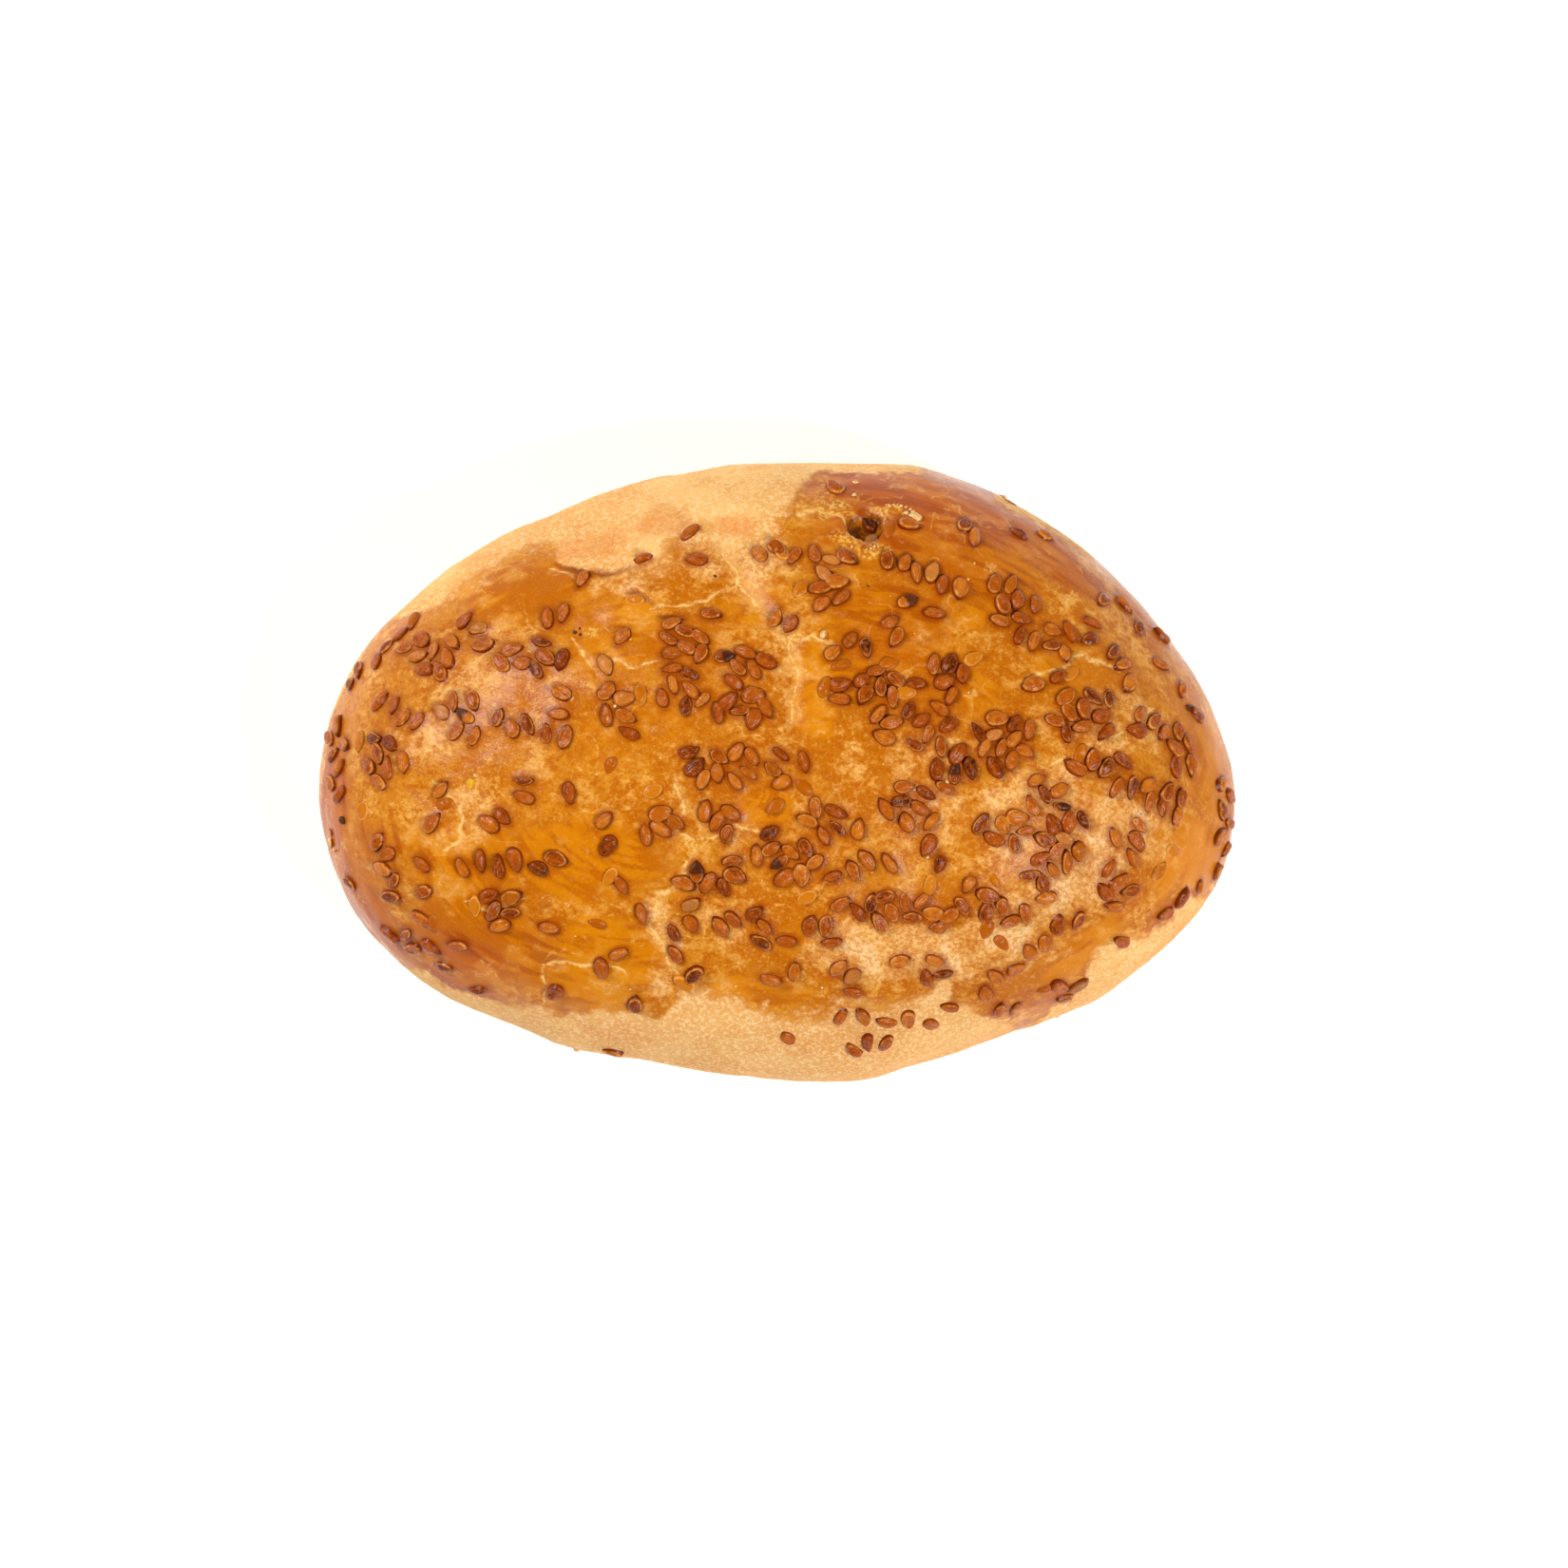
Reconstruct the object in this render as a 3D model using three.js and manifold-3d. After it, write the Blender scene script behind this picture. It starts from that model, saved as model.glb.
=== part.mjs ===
// A cheese pogaca: an oval, egg-washed bread roll, closed and uncut, with sesame seeds baked on.
// Millimetres, +Z up, +X along the roll. The origin is under the middle of the roll, on the tray.
// The crust is one closed surface: a domed top and a flank that rolls under to a flat base. It is
// addressed by a plan angle t and a level v, which runs from 0 at the crown over 1 at the widest
// line to 2 at the edge of the base.
import * as THREE from "three";
import Module from "manifold-3d";
import { mergeVertices } from "three/addons/utils/BufferGeometryUtils.js";

// Driving dimensions
const LENGTH = 124;
const WIDTH = 83.6;
const HEIGHT = 44;
const WIDEST_AT = 14.5; // height of the widest line above the tray
const BASE_SHARE = 0.84; // the flat base's outline, as a share of the widest one
const DOME_POWER = 2.3; // 2 is an ellipsoid, more is a flatter crown on steeper shoulders
const SEED_LENGTH = 3.15;
const SEED_WIDTH = 1.95;
const SEED_RISE = 0.62; // how far a seed stands out of the glaze that it is baked into
const SEED_ROOT = 0.28; // how far it is sunk in
const SEED_APART = 2.1; // the least distance between the middles of two seeds
const CENTRING = [0.16, 0.48]; // brings the middle of the roll's box over the origin

// Fineness of the faceted solid
const DOME_RINGS = 17;
const FLANK_RINGS = 4;
const SEED_CORNERS = 6;
const SHORTEST_EDGE = 0.03;

// What makes the oval lopsided: [waves round the outline, share of the radius, phase in degrees]
const OUTLINE_WAVES = [
  [0, -0.0094, 0],
  [1, 0.0177, -86],
  [2, 0.0049, 76],
  [3, 0.0244, -109],
  [4, 0.0035, -91],
  [5, 0.0105, -54],
  [6, 0.006, -108],
];

// Broad swells and dents of the baked dough: [x, y, radius, height]
const SWELLS = [
  [22, 33, 11, 1.1],
  [-47, -10, 13, 0.8],
  [34, -12, 15, 0.9],
  [-32, 12, 12, 0.5],
  [-28, 31, 9, -0.6],
  [-35, -34, 7, -0.8],
  [52, -24, 9, -0.5],
  [10, -30, 12, 0.4],
];

// Seams where the rising dough stretched and split its glaze: depth, half width and a route in plan
const SEAMS = [
  { depth: 0.55, halfWidth: 2.2, route: [[-6, 32], [-5, 23], [1.5, 17], [2.2, 5]] },
  { depth: 0.45, halfWidth: 2.0, route: [[-14, -4], [-12, -11], [-16, -18], [-14, -31]] },
  { depth: 0.35, halfWidth: 1.6, route: [[-5, 23], [-16, 20], [-27, 18]] },
  { depth: 0.3, halfWidth: 1.6, route: [[-46, -3], [-41, -9], [-31, -26]] },
];

// Uneven dough: [wavelength, height] of four crossing waves each
const LUMPS = [
  [41, 0.35],
  [19, 0.2],
  [9.5, 0.09],
];

// Thin flaps of skin whose lower edge has lifted: the edge's ends and middle in plan, how far the
// flap reaches up the crust, and how high its edge stands
const FLAPS = [
  { edge: [[-30.2, 27.8], [-25, 24.2], [-17, 27.8]], reach: 4.5, lift: 0.55 },
  { edge: [[-20.5, 23.2], [-17.8, 24.2], [-15.6, 21.4]], reach: 3.0, lift: 0.4 },
  { edge: [[-16.4, 20.6], [-14, 19.9], [-11.4, 20.4]], reach: 2.6, lift: 0.4 },
];

// A blister that broke and left a pit, and the seeds that lie in it: [x, y, how far they are sunk]
const PIT = { x: 11.6, y: 32.2, across: 5.6, along: 4.8, depth: 2.0 };
const PIT_SEEDS = [
  [12, 33.2, 1.5],
  [12.3, 30.2, 0.85],
];

// Seeds as they were strewn: [x, y, half length, half width, turn in degrees, seeds]. A patch that is
// wider than a row of seeds is an oval filled all over; a narrower one is a row, and one seed has no size.
const ROW_HALF_WIDTH = 1.3;
const STREWN = [
  [-53, 15.5, 7.2, 0.4, 41, 6],
  [-46.3, 15.2, 3.4, 2.2, 0, 8],
  [-39.9, 18, 2.6, 0.6, -50, 3],
  [-29.5, 20.1, 1.5, 0.2, 8, 2],
  [-32.7, 14.6, 4.6, 1.8, 5, 7],
  [-28, 9.8, 0, 0, 0, 1],
  [-42, 7.2, 3.2, 3.8, 0, 6],
  [-50.2, 7.4, 3.4, 0.5, -38, 4],
  [-58.8, 1.8, 6.2, 1.5, 92, 7],
  [-51.8, 1.4, 3.2, 3.4, 0, 7],
  [-36, 5.8, 2.6, 0.5, -45, 2],
  [-30.5, 5.8, 3.4, 2.8, 0, 4],
  [-22.8, 11.6, 3.2, 0.6, 80, 2],
  [-20.6, 6.6, 2.8, 2.6, 0, 4],
  [-20.4, 17.5, 0, 0, 0, 1],
  [-26, 25, 0, 0, 0, 1],
  [-14.6, 29.7, 7.4, 0.2, 27, 2],
  [-10.6, 27.8, 0, 0, 0, 1],
  [-12.6, 16.8, 3.6, 2.2, -35, 7],
  [-12.4, 10.2, 3.2, 3.2, 0, 7],
  [-8.7, 20.7, 0, 0, 0, 1],
  [0.8, 19.6, 2, 0.3, -50, 2],
  [-4.2, 13.4, 3.4, 2.2, 0, 6],
  [-4.2, 8, 4, 1.8, -5, 6],
  [-4.6, 0.2, 8.8, 2.2, 0, 13],
  [3.6, 28.2, 7, 1, -8, 6],
  [7.2, 23.6, 2.4, 2.2, 0, 5],
  [19.4, 25.6, 5.8, 0.8, -25, 6],
  [18.8, 21.2, 3.4, 0.5, -35, 2],
  [15.2, 18.6, 2.2, 0.3, 100, 2],
  [9.6, 16.2, 3.4, 1, 10, 3],
  [12.4, 10.8, 6.3, 2.4, 5, 9],
  [17.4, 5.8, 6.4, 2.4, 0, 9],
  [22.8, 12.4, 2.2, 3, 0, 5],
  [7.7, 37.1, 0, 0, 0, 1],
  [17.1, 31.6, 0, 0, 0, 1],
  [25.4, 30.8, 1.8, 0.2, -60, 2],
  [33.6, 30.6, 3.8, 0.2, -5, 2],
  [31.2, 21.6, 3.6, 4.2, 20, 8],
  [38.6, 17.2, 5, 2.4, 5, 7],
  [47.4, 20.2, 6.4, 0.9, -36, 4],
  [45.8, 13.4, 3.4, 0.6, -70, 3],
  [35.4, 11.4, 3.6, 0.4, 8, 2],
  [53.8, 10.6, 6, 0.4, -50, 3],
  [39.8, 7.2, 4.4, 2.3, 10, 9],
  [49, 5.4, 2.6, 1.6, 0, 4],
  [53.7, 2.4, 3.2, 1.5, -80, 5],
  [43.4, 4.6, 0, 0, 0, 1],
  [30, 3.4, 3.6, 3.8, 0, 11],
  [23, 0.4, 3, 3, 0, 6],
  [42.4, 0.6, 4.4, 0.8, 0, 4],
  [36.6, -4.8, 5.2, 2.4, -35, 8],
  [29.6, -8.2, 4.6, 1.8, -5, 6],
  [36.8, -10.8, 2.8, 2.1, 0, 7],
  [34.6, -15, 2.6, 0.9, -60, 3],
  [30, -18.6, 3.2, 1, -20, 4],
  [26.4, -15.8, 2.2, 1, -50, 2],
  [33.4, -24.2, 9, 0.8, 40, 7],
  [30.5, -32, 2, 0.3, -20, 2],
  [38.2, -29.6, 2.6, 1.4, -20, 3],
  [46.6, -2.5, 3, 0.4, 0, 3],
  [51.4, -4.6, 3, 1.4, -10, 5],
  [59.6, -6.4, 5.4, 1.2, 90, 6],
  [46.2, -9.6, 3.4, 1.8, 0, 4],
  [44.6, -15.4, 2.6, 2.8, 0, 5],
  [45.6, -22.6, 0, 0, 0, 1],
  [55, -16.6, 6, 0.6, 32, 4],
  [-7.6, -6.4, 1.9, 2.2, 0, 4],
  [7, -6.8, 4.8, 1.9, -10, 6],
  [17.4, -5.2, 4.2, 3, 0, 7],
  [20.4, -11.4, 2.6, 0.6, -70, 2],
  [2, -12, 6.4, 2.4, -20, 10],
  [12.2, -12.4, 4, 1, 10, 3],
  [-8.2, -14.4, 4.4, 1.8, 10, 6],
  [-15.6, -7.4, 2.4, 1.8, 20, 4],
  [-12.6, -21.4, 4.6, 1.2, 62, 4],
  [-3.6, -21, 5.4, 2, -20, 6],
  [16.6, -18.6, 9, 1.8, -3, 13],
  [6, -21.4, 2.6, 0.7, -30, 3],
  [0.8, -27.4, 3.2, 0.2, 20, 2],
  [9.4, -27.8, 3, 0.3, -55, 3],
  [21.2, -26.4, 1.8, 1.3, 0, 3],
  [16.3, -25.4, 0, 0, 0, 1],
  [23.1, -31.8, 0, 0, 0, 1],
  [14.4, -33.4, 7.6, 0.5, -6, 5],
  [12.2, -36.8, 3.4, 0.3, 5, 3],
  [1.5, -36, 0, 0, 0, 1],
  [-11.2, -27.7, 0, 0, 0, 1],
  [-44.8, -4.8, 4.4, 0.2, 70, 2],
  [-51.2, -12.9, 4.4, 0.9, -75, 5],
  [-56.7, -14.9, 0, 0, 0, 1],
  [-46.4, -15.8, 5.6, 0.3, -88, 3],
  [-48.6, -22.6, 3.6, 1.2, -30, 4],
  [-44, -26.4, 2.6, 0.3, -45, 1],
  [-33.2, -2.6, 1.8, 0.3, 65, 2],
  [-27.3, -3.4, 0, 0, 0, 1],
  [-37, -7, 2, 0.3, 20, 2],
  [-35.4, -12.6, 7.2, 0.8, 0, 6],
  [-36.8, -18.4, 2.6, 2.5, 0, 5],
  [-30.2, -21.1, 0, 0, 0, 1],
  [-40.9, -26.4, 7, 0.2, -72, 2],
  [-22.6, -8.6, 3.6, 0.3, 90, 2],
  [-19.4, -17.4, 5, 0.4, -65, 2],
  [-22.4, -25.6, 2.8, 0.3, 25, 2],
  [-24.1, -30.6, 11, 0.2, -8, 2],
  [-22.3, -38.2, 0, 0, 0, 1],
];

const GOLDEN_ANGLE = Math.PI * (3 - Math.sqrt(5));
const DRAW_SEED = 1234;

const radians = (degrees) => (degrees * Math.PI) / 180;

// A sequence of numbers between 0 and 1 that is the same on every run
function draws(seed) {
  let state = seed;
  return () => {
    state = (state * 48271) % 2147483647;
    return state / 2147483647;
  };
}

// ---------------------------------------------------------------- the crust

function outlineRadius(t) {
  const oval = 1 / Math.hypot(Math.cos(t) / (LENGTH / 2), Math.sin(t) / (WIDTH / 2));
  let share = 1;
  for (const [order, amount, phase] of OUTLINE_WAVES)
    share += amount * Math.cos(order * t - radians(phase));
  return oval * share;
}

// Radius share and height of a level, before any relief
function profile(v) {
  if (v <= 1) {
    const share = Math.sin((v * Math.PI) / 2);
    const rise = Math.max(0, 1 - share ** DOME_POWER) ** (1 / DOME_POWER);
    return [share, WIDEST_AT + (HEIGHT - WIDEST_AT) * rise];
  }
  const turn = ((v - 1) * Math.PI) / 2;
  const share = BASE_SHARE + (1 - BASE_SHARE) * Math.max(0, Math.cos(turn)) ** 0.85;
  return [share, WIDEST_AT * (1 - Math.sin(turn) ** 0.9)];
}

function distanceToSegment(x, y, [ax, ay], [bx, by]) {
  const along = ((x - ax) * (bx - ax) + (y - ay) * (by - ay)) / ((bx - ax) ** 2 + (by - ay) ** 2);
  const k = Math.min(1, Math.max(0, along));
  return Math.hypot(x - ax - k * (bx - ax), y - ay - k * (by - ay));
}

function seamDepth(x, y) {
  let total = 0;
  for (const { depth, halfWidth, route } of SEAMS) {
    let nearest = Infinity;
    for (let i = 1; i < route.length; i++)
      nearest = Math.min(nearest, distanceToSegment(x, y, route[i - 1], route[i]));
    total += depth * Math.exp(-((nearest / halfWidth) ** 2));
  }
  return total;
}

function lumps(x, y, z) {
  let total = 0;
  const waves = 4 * LUMPS.length;
  for (let i = 0; i < waves; i++) {
    const [wavelength, height] = LUMPS[Math.floor(i / 4)];
    const up = 1 - (2 * (i + 0.5)) / waves;
    const flat = Math.sqrt(1 - up * up);
    const turn = i * GOLDEN_ANGLE;
    const along = x * flat * Math.cos(turn) + y * flat * Math.sin(turn) + z * up;
    total += (height / 2) * Math.sin((2 * Math.PI * along) / wavelength + 1.7 * i);
  }
  return total;
}

// How far the crust stands proud of the plain form, faded out towards the flat base
function relief(x, y, z) {
  let height = lumps(x, y, z);
  const onTop = THREE.MathUtils.smoothstep(z, WIDEST_AT, WIDEST_AT + 6);
  for (const [cx, cy, radius, swell] of SWELLS)
    height += swell * Math.exp(-((x - cx) ** 2 + (y - cy) ** 2) / radius ** 2);
  return (height - onTop * seamDepth(x, y)) * THREE.MathUtils.smoothstep(z, 0, 8);
}

// A point of the crust at plan angle t and level v
function crustPoint(t, v) {
  const [share, z] = profile(v);
  const radius = share * outlineRadius(t);
  const plain = new THREE.Vector3(radius * Math.cos(t), radius * Math.sin(t), z);
  const rise = z > WIDEST_AT ? HEIGHT - WIDEST_AT : WIDEST_AT;
  const outward = new THREE.Vector3(
    plain.x / (LENGTH / 2) ** 2,
    plain.y / (WIDTH / 2) ** 2,
    (z - WIDEST_AT) / rise ** 2,
  ).normalize();
  return plain.addScaledVector(outward, relief(plain.x, plain.y, z));
}

// The point, the outward normal and the two directions along the crust at (t, v)
function crustFrame(t, v) {
  const step = 0.004;
  const point = crustPoint(t, v);
  const around = crustPoint(t + step, v).sub(crustPoint(t - step, v)).normalize();
  const down = crustPoint(t, v + step).sub(crustPoint(t, v - step)).normalize();
  const normal = new THREE.Vector3().crossVectors(down, around).normalize();
  return { point, normal, around, up: new THREE.Vector3().crossVectors(normal, around) };
}

// Plan place to (t, v), kept on the dome
function onDome(x, y) {
  const t = Math.atan2(y, x);
  const share = Math.min(0.985, Math.hypot(x, y) / outlineRadius(t));
  return [t, (Math.asin(share) * 2) / Math.PI];
}

// Levels of the dome's rings, spaced evenly along its curve at the mean radius
function evenLevels(rings) {
  const fine = 400;
  const radius = (LENGTH + WIDTH) / 4;
  const lengths = [0];
  for (let i = 1; i <= fine; i++) {
    const [a, za] = profile((i - 1) / fine);
    const [b, zb] = profile(i / fine);
    lengths.push(lengths[i - 1] + Math.hypot((b - a) * radius, zb - za));
  }
  const levels = [];
  for (let k = 0, i = 0; k <= rings; k++) {
    while (i < fine && lengths[i] < (lengths[fine] * k) / rings) i++;
    levels.push(i / fine);
  }
  return levels;
}

// Rings of 6, 12, 18 ... points out to the widest line, even rings down the flank, and a flat base
function crustGeometry() {
  const points = [crustPoint(0, 0)];
  const faces = [];
  const ringStart = [0];
  evenLevels(DOME_RINGS).forEach((level, k) => {
    if (k === 0) return;
    ringStart.push(points.length);
    for (let i = 0; i < 6 * k; i++) points.push(crustPoint((2 * Math.PI * i) / (6 * k), level));
    for (let side = 0; side < 6; side++) {
      const outer = (i) => ringStart[k] + ((side * k + i) % (6 * k));
      const inner = (i) => ringStart[k - 1] + (k > 1 ? (side * (k - 1) + i) % (6 * (k - 1)) : 0);
      for (let i = 0; i < k; i++) {
        faces.push([inner(i), outer(i), outer(i + 1)]);
        if (i < k - 1) faces.push([inner(i), outer(i + 1), inner(i + 1)]);
      }
    }
  });
  const around = 6 * DOME_RINGS;
  let above = ringStart[DOME_RINGS];
  for (let row = 1; row <= FLANK_RINGS; row++) {
    const here = points.length;
    for (let i = 0; i < around; i++)
      points.push(crustPoint((2 * Math.PI * i) / around, 1 + row / FLANK_RINGS));
    for (let i = 0; i < around; i++) {
      const j = (i + 1) % around;
      faces.push([above + i, here + i, here + j], [above + i, here + j, above + j]);
    }
    above = here;
  }
  const hub = points.push(new THREE.Vector3(0, 0, 0)) - 1;
  for (let i = 0; i < around; i++) faces.push([above + i, hub, above + ((i + 1) % around)]);
  return meshOf(points, faces);
}

function meshOf(points, faces) {
  const geometry = new THREE.BufferGeometry().setFromPoints(points);
  geometry.setIndex(faces.flat());
  return geometry;
}

// ---------------------------------------------------------------- flaps and the pit

// A thin slab that lies in the crust and shows only its lifted lower edge
function flapGeometry({ edge, reach, lift }) {
  const stations = 7;
  const buried = 0.7;
  const [start, middle, end] = edge.map(([x, y]) => new THREE.Vector2(x, y));
  const curve = new THREE.QuadraticBezierCurve(start, middle, end);
  const points = [];
  for (let i = 0; i < stations; i++) {
    const { x, y } = curve.getPoint(i / (stations - 1));
    const taper = Math.sin((Math.PI * (i + 0.35)) / (stations - 0.3));
    const shown = lift * taper;
    for (const [dy, height] of [[0, shown], [reach * taper + 0.4, -0.05], [reach * taper + 0.4, -buried], [0, -buried]]) {
      const { point, normal } = crustFrame(...onDome(x, y + dy));
      points.push(point.addScaledVector(normal, height));
    }
  }
  const faces = [[0, 1, 2], [0, 2, 3]];
  for (let i = 1; i < stations; i++)
    for (let side = 0; side < 4; side++) {
      const a = 4 * (i - 1) + side;
      const b = 4 * (i - 1) + ((side + 1) % 4);
      faces.push([a, a + 4, b + 4], [a, b + 4, b]);
    }
  const last = 4 * (stations - 1);
  faces.push([last, last + 2, last + 1], [last, last + 3, last + 2]);
  return meshOf(points, faces);
}

// What the broken blister takes out of the crust
function pitGeometry() {
  const { point, normal, around, up } = crustFrame(...onDome(PIT.x, PIT.y));
  const turn = new THREE.Matrix4().makeBasis(around, up, normal).setPosition(point);
  return new THREE.IcosahedronGeometry(1, 1)
    .scale(PIT.across / 2, PIT.along / 2, PIT.depth)
    .applyMatrix4(turn);
}

// ---------------------------------------------------------------- the seeds

// Every seed as { t, v, heading, size, pitch, roll, sunk }, in the order in which they were strewn
function strewnSeeds() {
  const draw = draws(DRAW_SEED);
  const places = [];
  STREWN.forEach(([x, y, halfLength, halfWidth, turn, count], patch) => {
    const [c, s] = [Math.cos(radians(turn)), Math.sin(radians(turn))];
    for (let k = 0; k < count; k++) {
      const reach = Math.sqrt((k + 0.5) / count);
      const angle = k * GOLDEN_ANGLE + patch;
      const inRow = halfWidth < ROW_HALF_WIDTH;
      const ahead = inRow ? (2 * k + 1) / count - 1 : reach * Math.cos(angle);
      const aside = inRow ? (k % 2) - 0.5 : reach * Math.sin(angle);
      const along = halfLength * ahead + 0.6 * (draw() - 0.5);
      const across = halfWidth * aside + 0.6 * (draw() - 0.5);
      places.push([x + along * c - across * s, y + along * s + across * c]);
    }
  });
  pushApart(places);
  const seeds = places.map(([x, y]) => {
    const [t, v] = onDome(x, y);
    return { t, v, sunk: 0, heading: layBeside(x, y, places, draw) - t - Math.PI / 2 };
  });
  for (const [x, y, sunk] of PIT_SEEDS) {
    const [t, v] = onDome(x, y);
    seeds.push({ t, v, sunk, heading: 2 * Math.PI * draw() });
  }
  return seeds.map((place) => ({
    ...place,
    size: 0.88 + 0.24 * draw(),
    pitch: 0.12 * (draw() - 0.5),
    roll: 0.16 * (draw() - 0.5),
  }));
}

// The plan direction of a seed: any, but side by side with a neighbour that it would lie on
function layBeside(x, y, places, draw) {
  let nearest = 1.3 * SEED_APART;
  let direction = 2 * Math.PI * draw();
  const sway = 1.1 * (draw() - 0.5);
  for (const [ox, oy] of places) {
    const gap = Math.hypot(ox - x, oy - y);
    if (gap < 1e-6 || gap >= nearest) continue;
    nearest = gap;
    direction = Math.atan2(oy - y, ox - x) + Math.PI / 2 + sway;
  }
  return direction;
}

// Moves seeds that lie on one another apart, a little at a time
function pushApart(places) {
  for (let pass = 0; pass < 12; pass++)
    for (let i = 0; i < places.length; i++)
      for (let j = i + 1; j < places.length; j++) {
        const dx = places[j][0] - places[i][0];
        const dy = places[j][1] - places[i][1];
        const gap = Math.hypot(dx, dy);
        if (gap >= SEED_APART || gap < 1e-6) continue;
        const push = (0.4 * (SEED_APART - gap)) / gap;
        places[i] = [places[i][0] - dx * push, places[i][1] - dy * push];
        places[j] = [places[j][0] + dx * push, places[j][1] + dy * push];
      }
}

// A low teardrop with its point along +X, its true outline at the level of the crust
function seedGeometry() {
  const flare = 1 + SEED_ROOT / SEED_RISE;
  const points = [];
  for (let i = 0; i < SEED_CORNERS; i++) {
    const a = (2 * Math.PI * i) / SEED_CORNERS;
    const taper = Math.abs(Math.sin(a / 2)) ** 0.45;
    const x = (flare * Math.cos(a) * SEED_LENGTH) / 2;
    const y = (flare * Math.sin(a) * taper * SEED_WIDTH) / 1.85;
    points.push(new THREE.Vector3(x, y, -SEED_ROOT));
  }
  points.push(new THREE.Vector3(-0.08 * SEED_LENGTH, 0, SEED_RISE));
  points.push(new THREE.Vector3(0, 0, -2 * SEED_ROOT));
  const faces = [];
  for (let i = 0; i < SEED_CORNERS; i++) {
    const j = (i + 1) % SEED_CORNERS;
    faces.push([i, j, SEED_CORNERS], [j, i, SEED_CORNERS + 1]);
  }
  return meshOf(points, faces);
}

function placedSeed(geometry, { t, v, heading, size, pitch, roll, sunk }) {
  const { point, normal, around, up } = crustFrame(t, v);
  const along = around.clone().multiplyScalar(Math.cos(heading)).addScaledVector(up, Math.sin(heading));
  const lid = normal.clone().addScaledVector(along, pitch);
  lid.addScaledVector(new THREE.Vector3().crossVectors(normal, along), roll).normalize();
  along.addScaledVector(lid, -along.dot(lid)).normalize();
  const across = new THREE.Vector3().crossVectors(lid, along);
  const place = new THREE.Matrix4()
    .makeBasis(along, across, lid)
    .scale(new THREE.Vector3(size, size, size))
    .setPosition(point.addScaledVector(normal, -sunk));
  return geometry.clone().applyMatrix4(place);
}

// ---------------------------------------------------------------- joining

const wasm = await Module();
wasm.setup();

function solidOf(geometry) {
  const bare = geometry.clone();
  bare.deleteAttribute("normal");
  bare.deleteAttribute("uv");
  const merged = mergeVertices(bare, 1e-4);
  return new wasm.Manifold(
    new wasm.Mesh({
      numProp: 3,
      vertProperties: merged.attributes.position.array,
      triVerts: new Uint32Array(merged.index.array),
    }),
  );
}

function geometryOf(solid) {
  const { vertProperties, triVerts } = solid.getMesh();
  const geometry = new THREE.BufferGeometry();
  geometry.setAttribute("position", new THREE.BufferAttribute(vertProperties, 3));
  geometry.setIndex(new THREE.BufferAttribute(triVerts, 1));
  geometry.computeVertexNormals();
  return geometry;
}

let roll = solidOf(crustGeometry());
for (const flap of FLAPS) roll = roll.add(solidOf(flapGeometry(flap)));
roll = roll.subtract(solidOf(pitGeometry()));
const seed = seedGeometry();
for (const place of strewnSeeds()) roll = roll.add(solidOf(placedSeed(seed, place)));
roll = roll.asOriginal().simplify(SHORTEST_EDGE);

const crust = new THREE.MeshStandardMaterial({ color: 0xd98a2b, roughness: 0.4, metalness: 0 });
const pogaca = new THREE.Mesh(geometryOf(roll).translate(...CENTRING, 0), crust);
pogaca.name = "pogaca";

const group = new THREE.Group();
group.add(pogaca);
export default group;
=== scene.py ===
"""Looks of an oval, egg-washed cheese pogaca with sesame seeds baked on.

The crust repeats the form of the CAD solid from the same named sizes, and adds the fine relief.
Sizes are millimetres in the functions, and metres once they reach Blender.
"""

import itertools
import math
from types import SimpleNamespace

import bpy
import numpy as np
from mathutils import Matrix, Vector


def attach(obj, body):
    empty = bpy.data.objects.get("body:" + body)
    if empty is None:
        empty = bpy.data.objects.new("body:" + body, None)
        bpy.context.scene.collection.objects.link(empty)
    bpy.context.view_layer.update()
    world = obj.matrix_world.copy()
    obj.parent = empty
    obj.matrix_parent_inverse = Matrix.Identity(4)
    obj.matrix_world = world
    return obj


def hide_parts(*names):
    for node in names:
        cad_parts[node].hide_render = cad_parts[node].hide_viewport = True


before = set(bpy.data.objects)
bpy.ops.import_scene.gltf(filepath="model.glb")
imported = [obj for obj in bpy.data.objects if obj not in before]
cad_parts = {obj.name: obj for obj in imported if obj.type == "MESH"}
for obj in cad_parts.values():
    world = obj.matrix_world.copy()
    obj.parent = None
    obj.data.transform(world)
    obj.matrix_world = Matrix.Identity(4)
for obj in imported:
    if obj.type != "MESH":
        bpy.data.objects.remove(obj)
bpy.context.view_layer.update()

MM = 0.001

# ---- the form, as in the CAD source

LENGTH = 124
WIDTH = 83.6
HEIGHT = 44
WIDEST_AT = 14.5
BASE_SHARE = 0.84
DOME_POWER = 2.3
SEED_LENGTH = 3.15
SEED_WIDTH = 1.95
SEED_RISE = 0.62
SEED_ROOT = 0.28
SEED_APART = 2.1
CENTRING = (0.16, 0.48)

# (waves round the outline, share of the radius, phase in degrees)
OUTLINE_WAVES = [
    (0, -0.0094, 0),
    (1, 0.0177, -86),
    (2, 0.0049, 76),
    (3, 0.0244, -109),
    (4, 0.0035, -91),
    (5, 0.0105, -54),
    (6, 0.006, -108),
]
# (x, y, radius, height)
SWELLS = [
    (22, 33, 11, 1.1),
    (-47, -10, 13, 0.8),
    (34, -12, 15, 0.9),
    (-32, 12, 12, 0.5),
    (-28, 31, 9, -0.6),
    (-35, -34, 7, -0.8),
    (52, -24, 9, -0.5),
    (10, -30, 12, 0.4),
]
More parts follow.
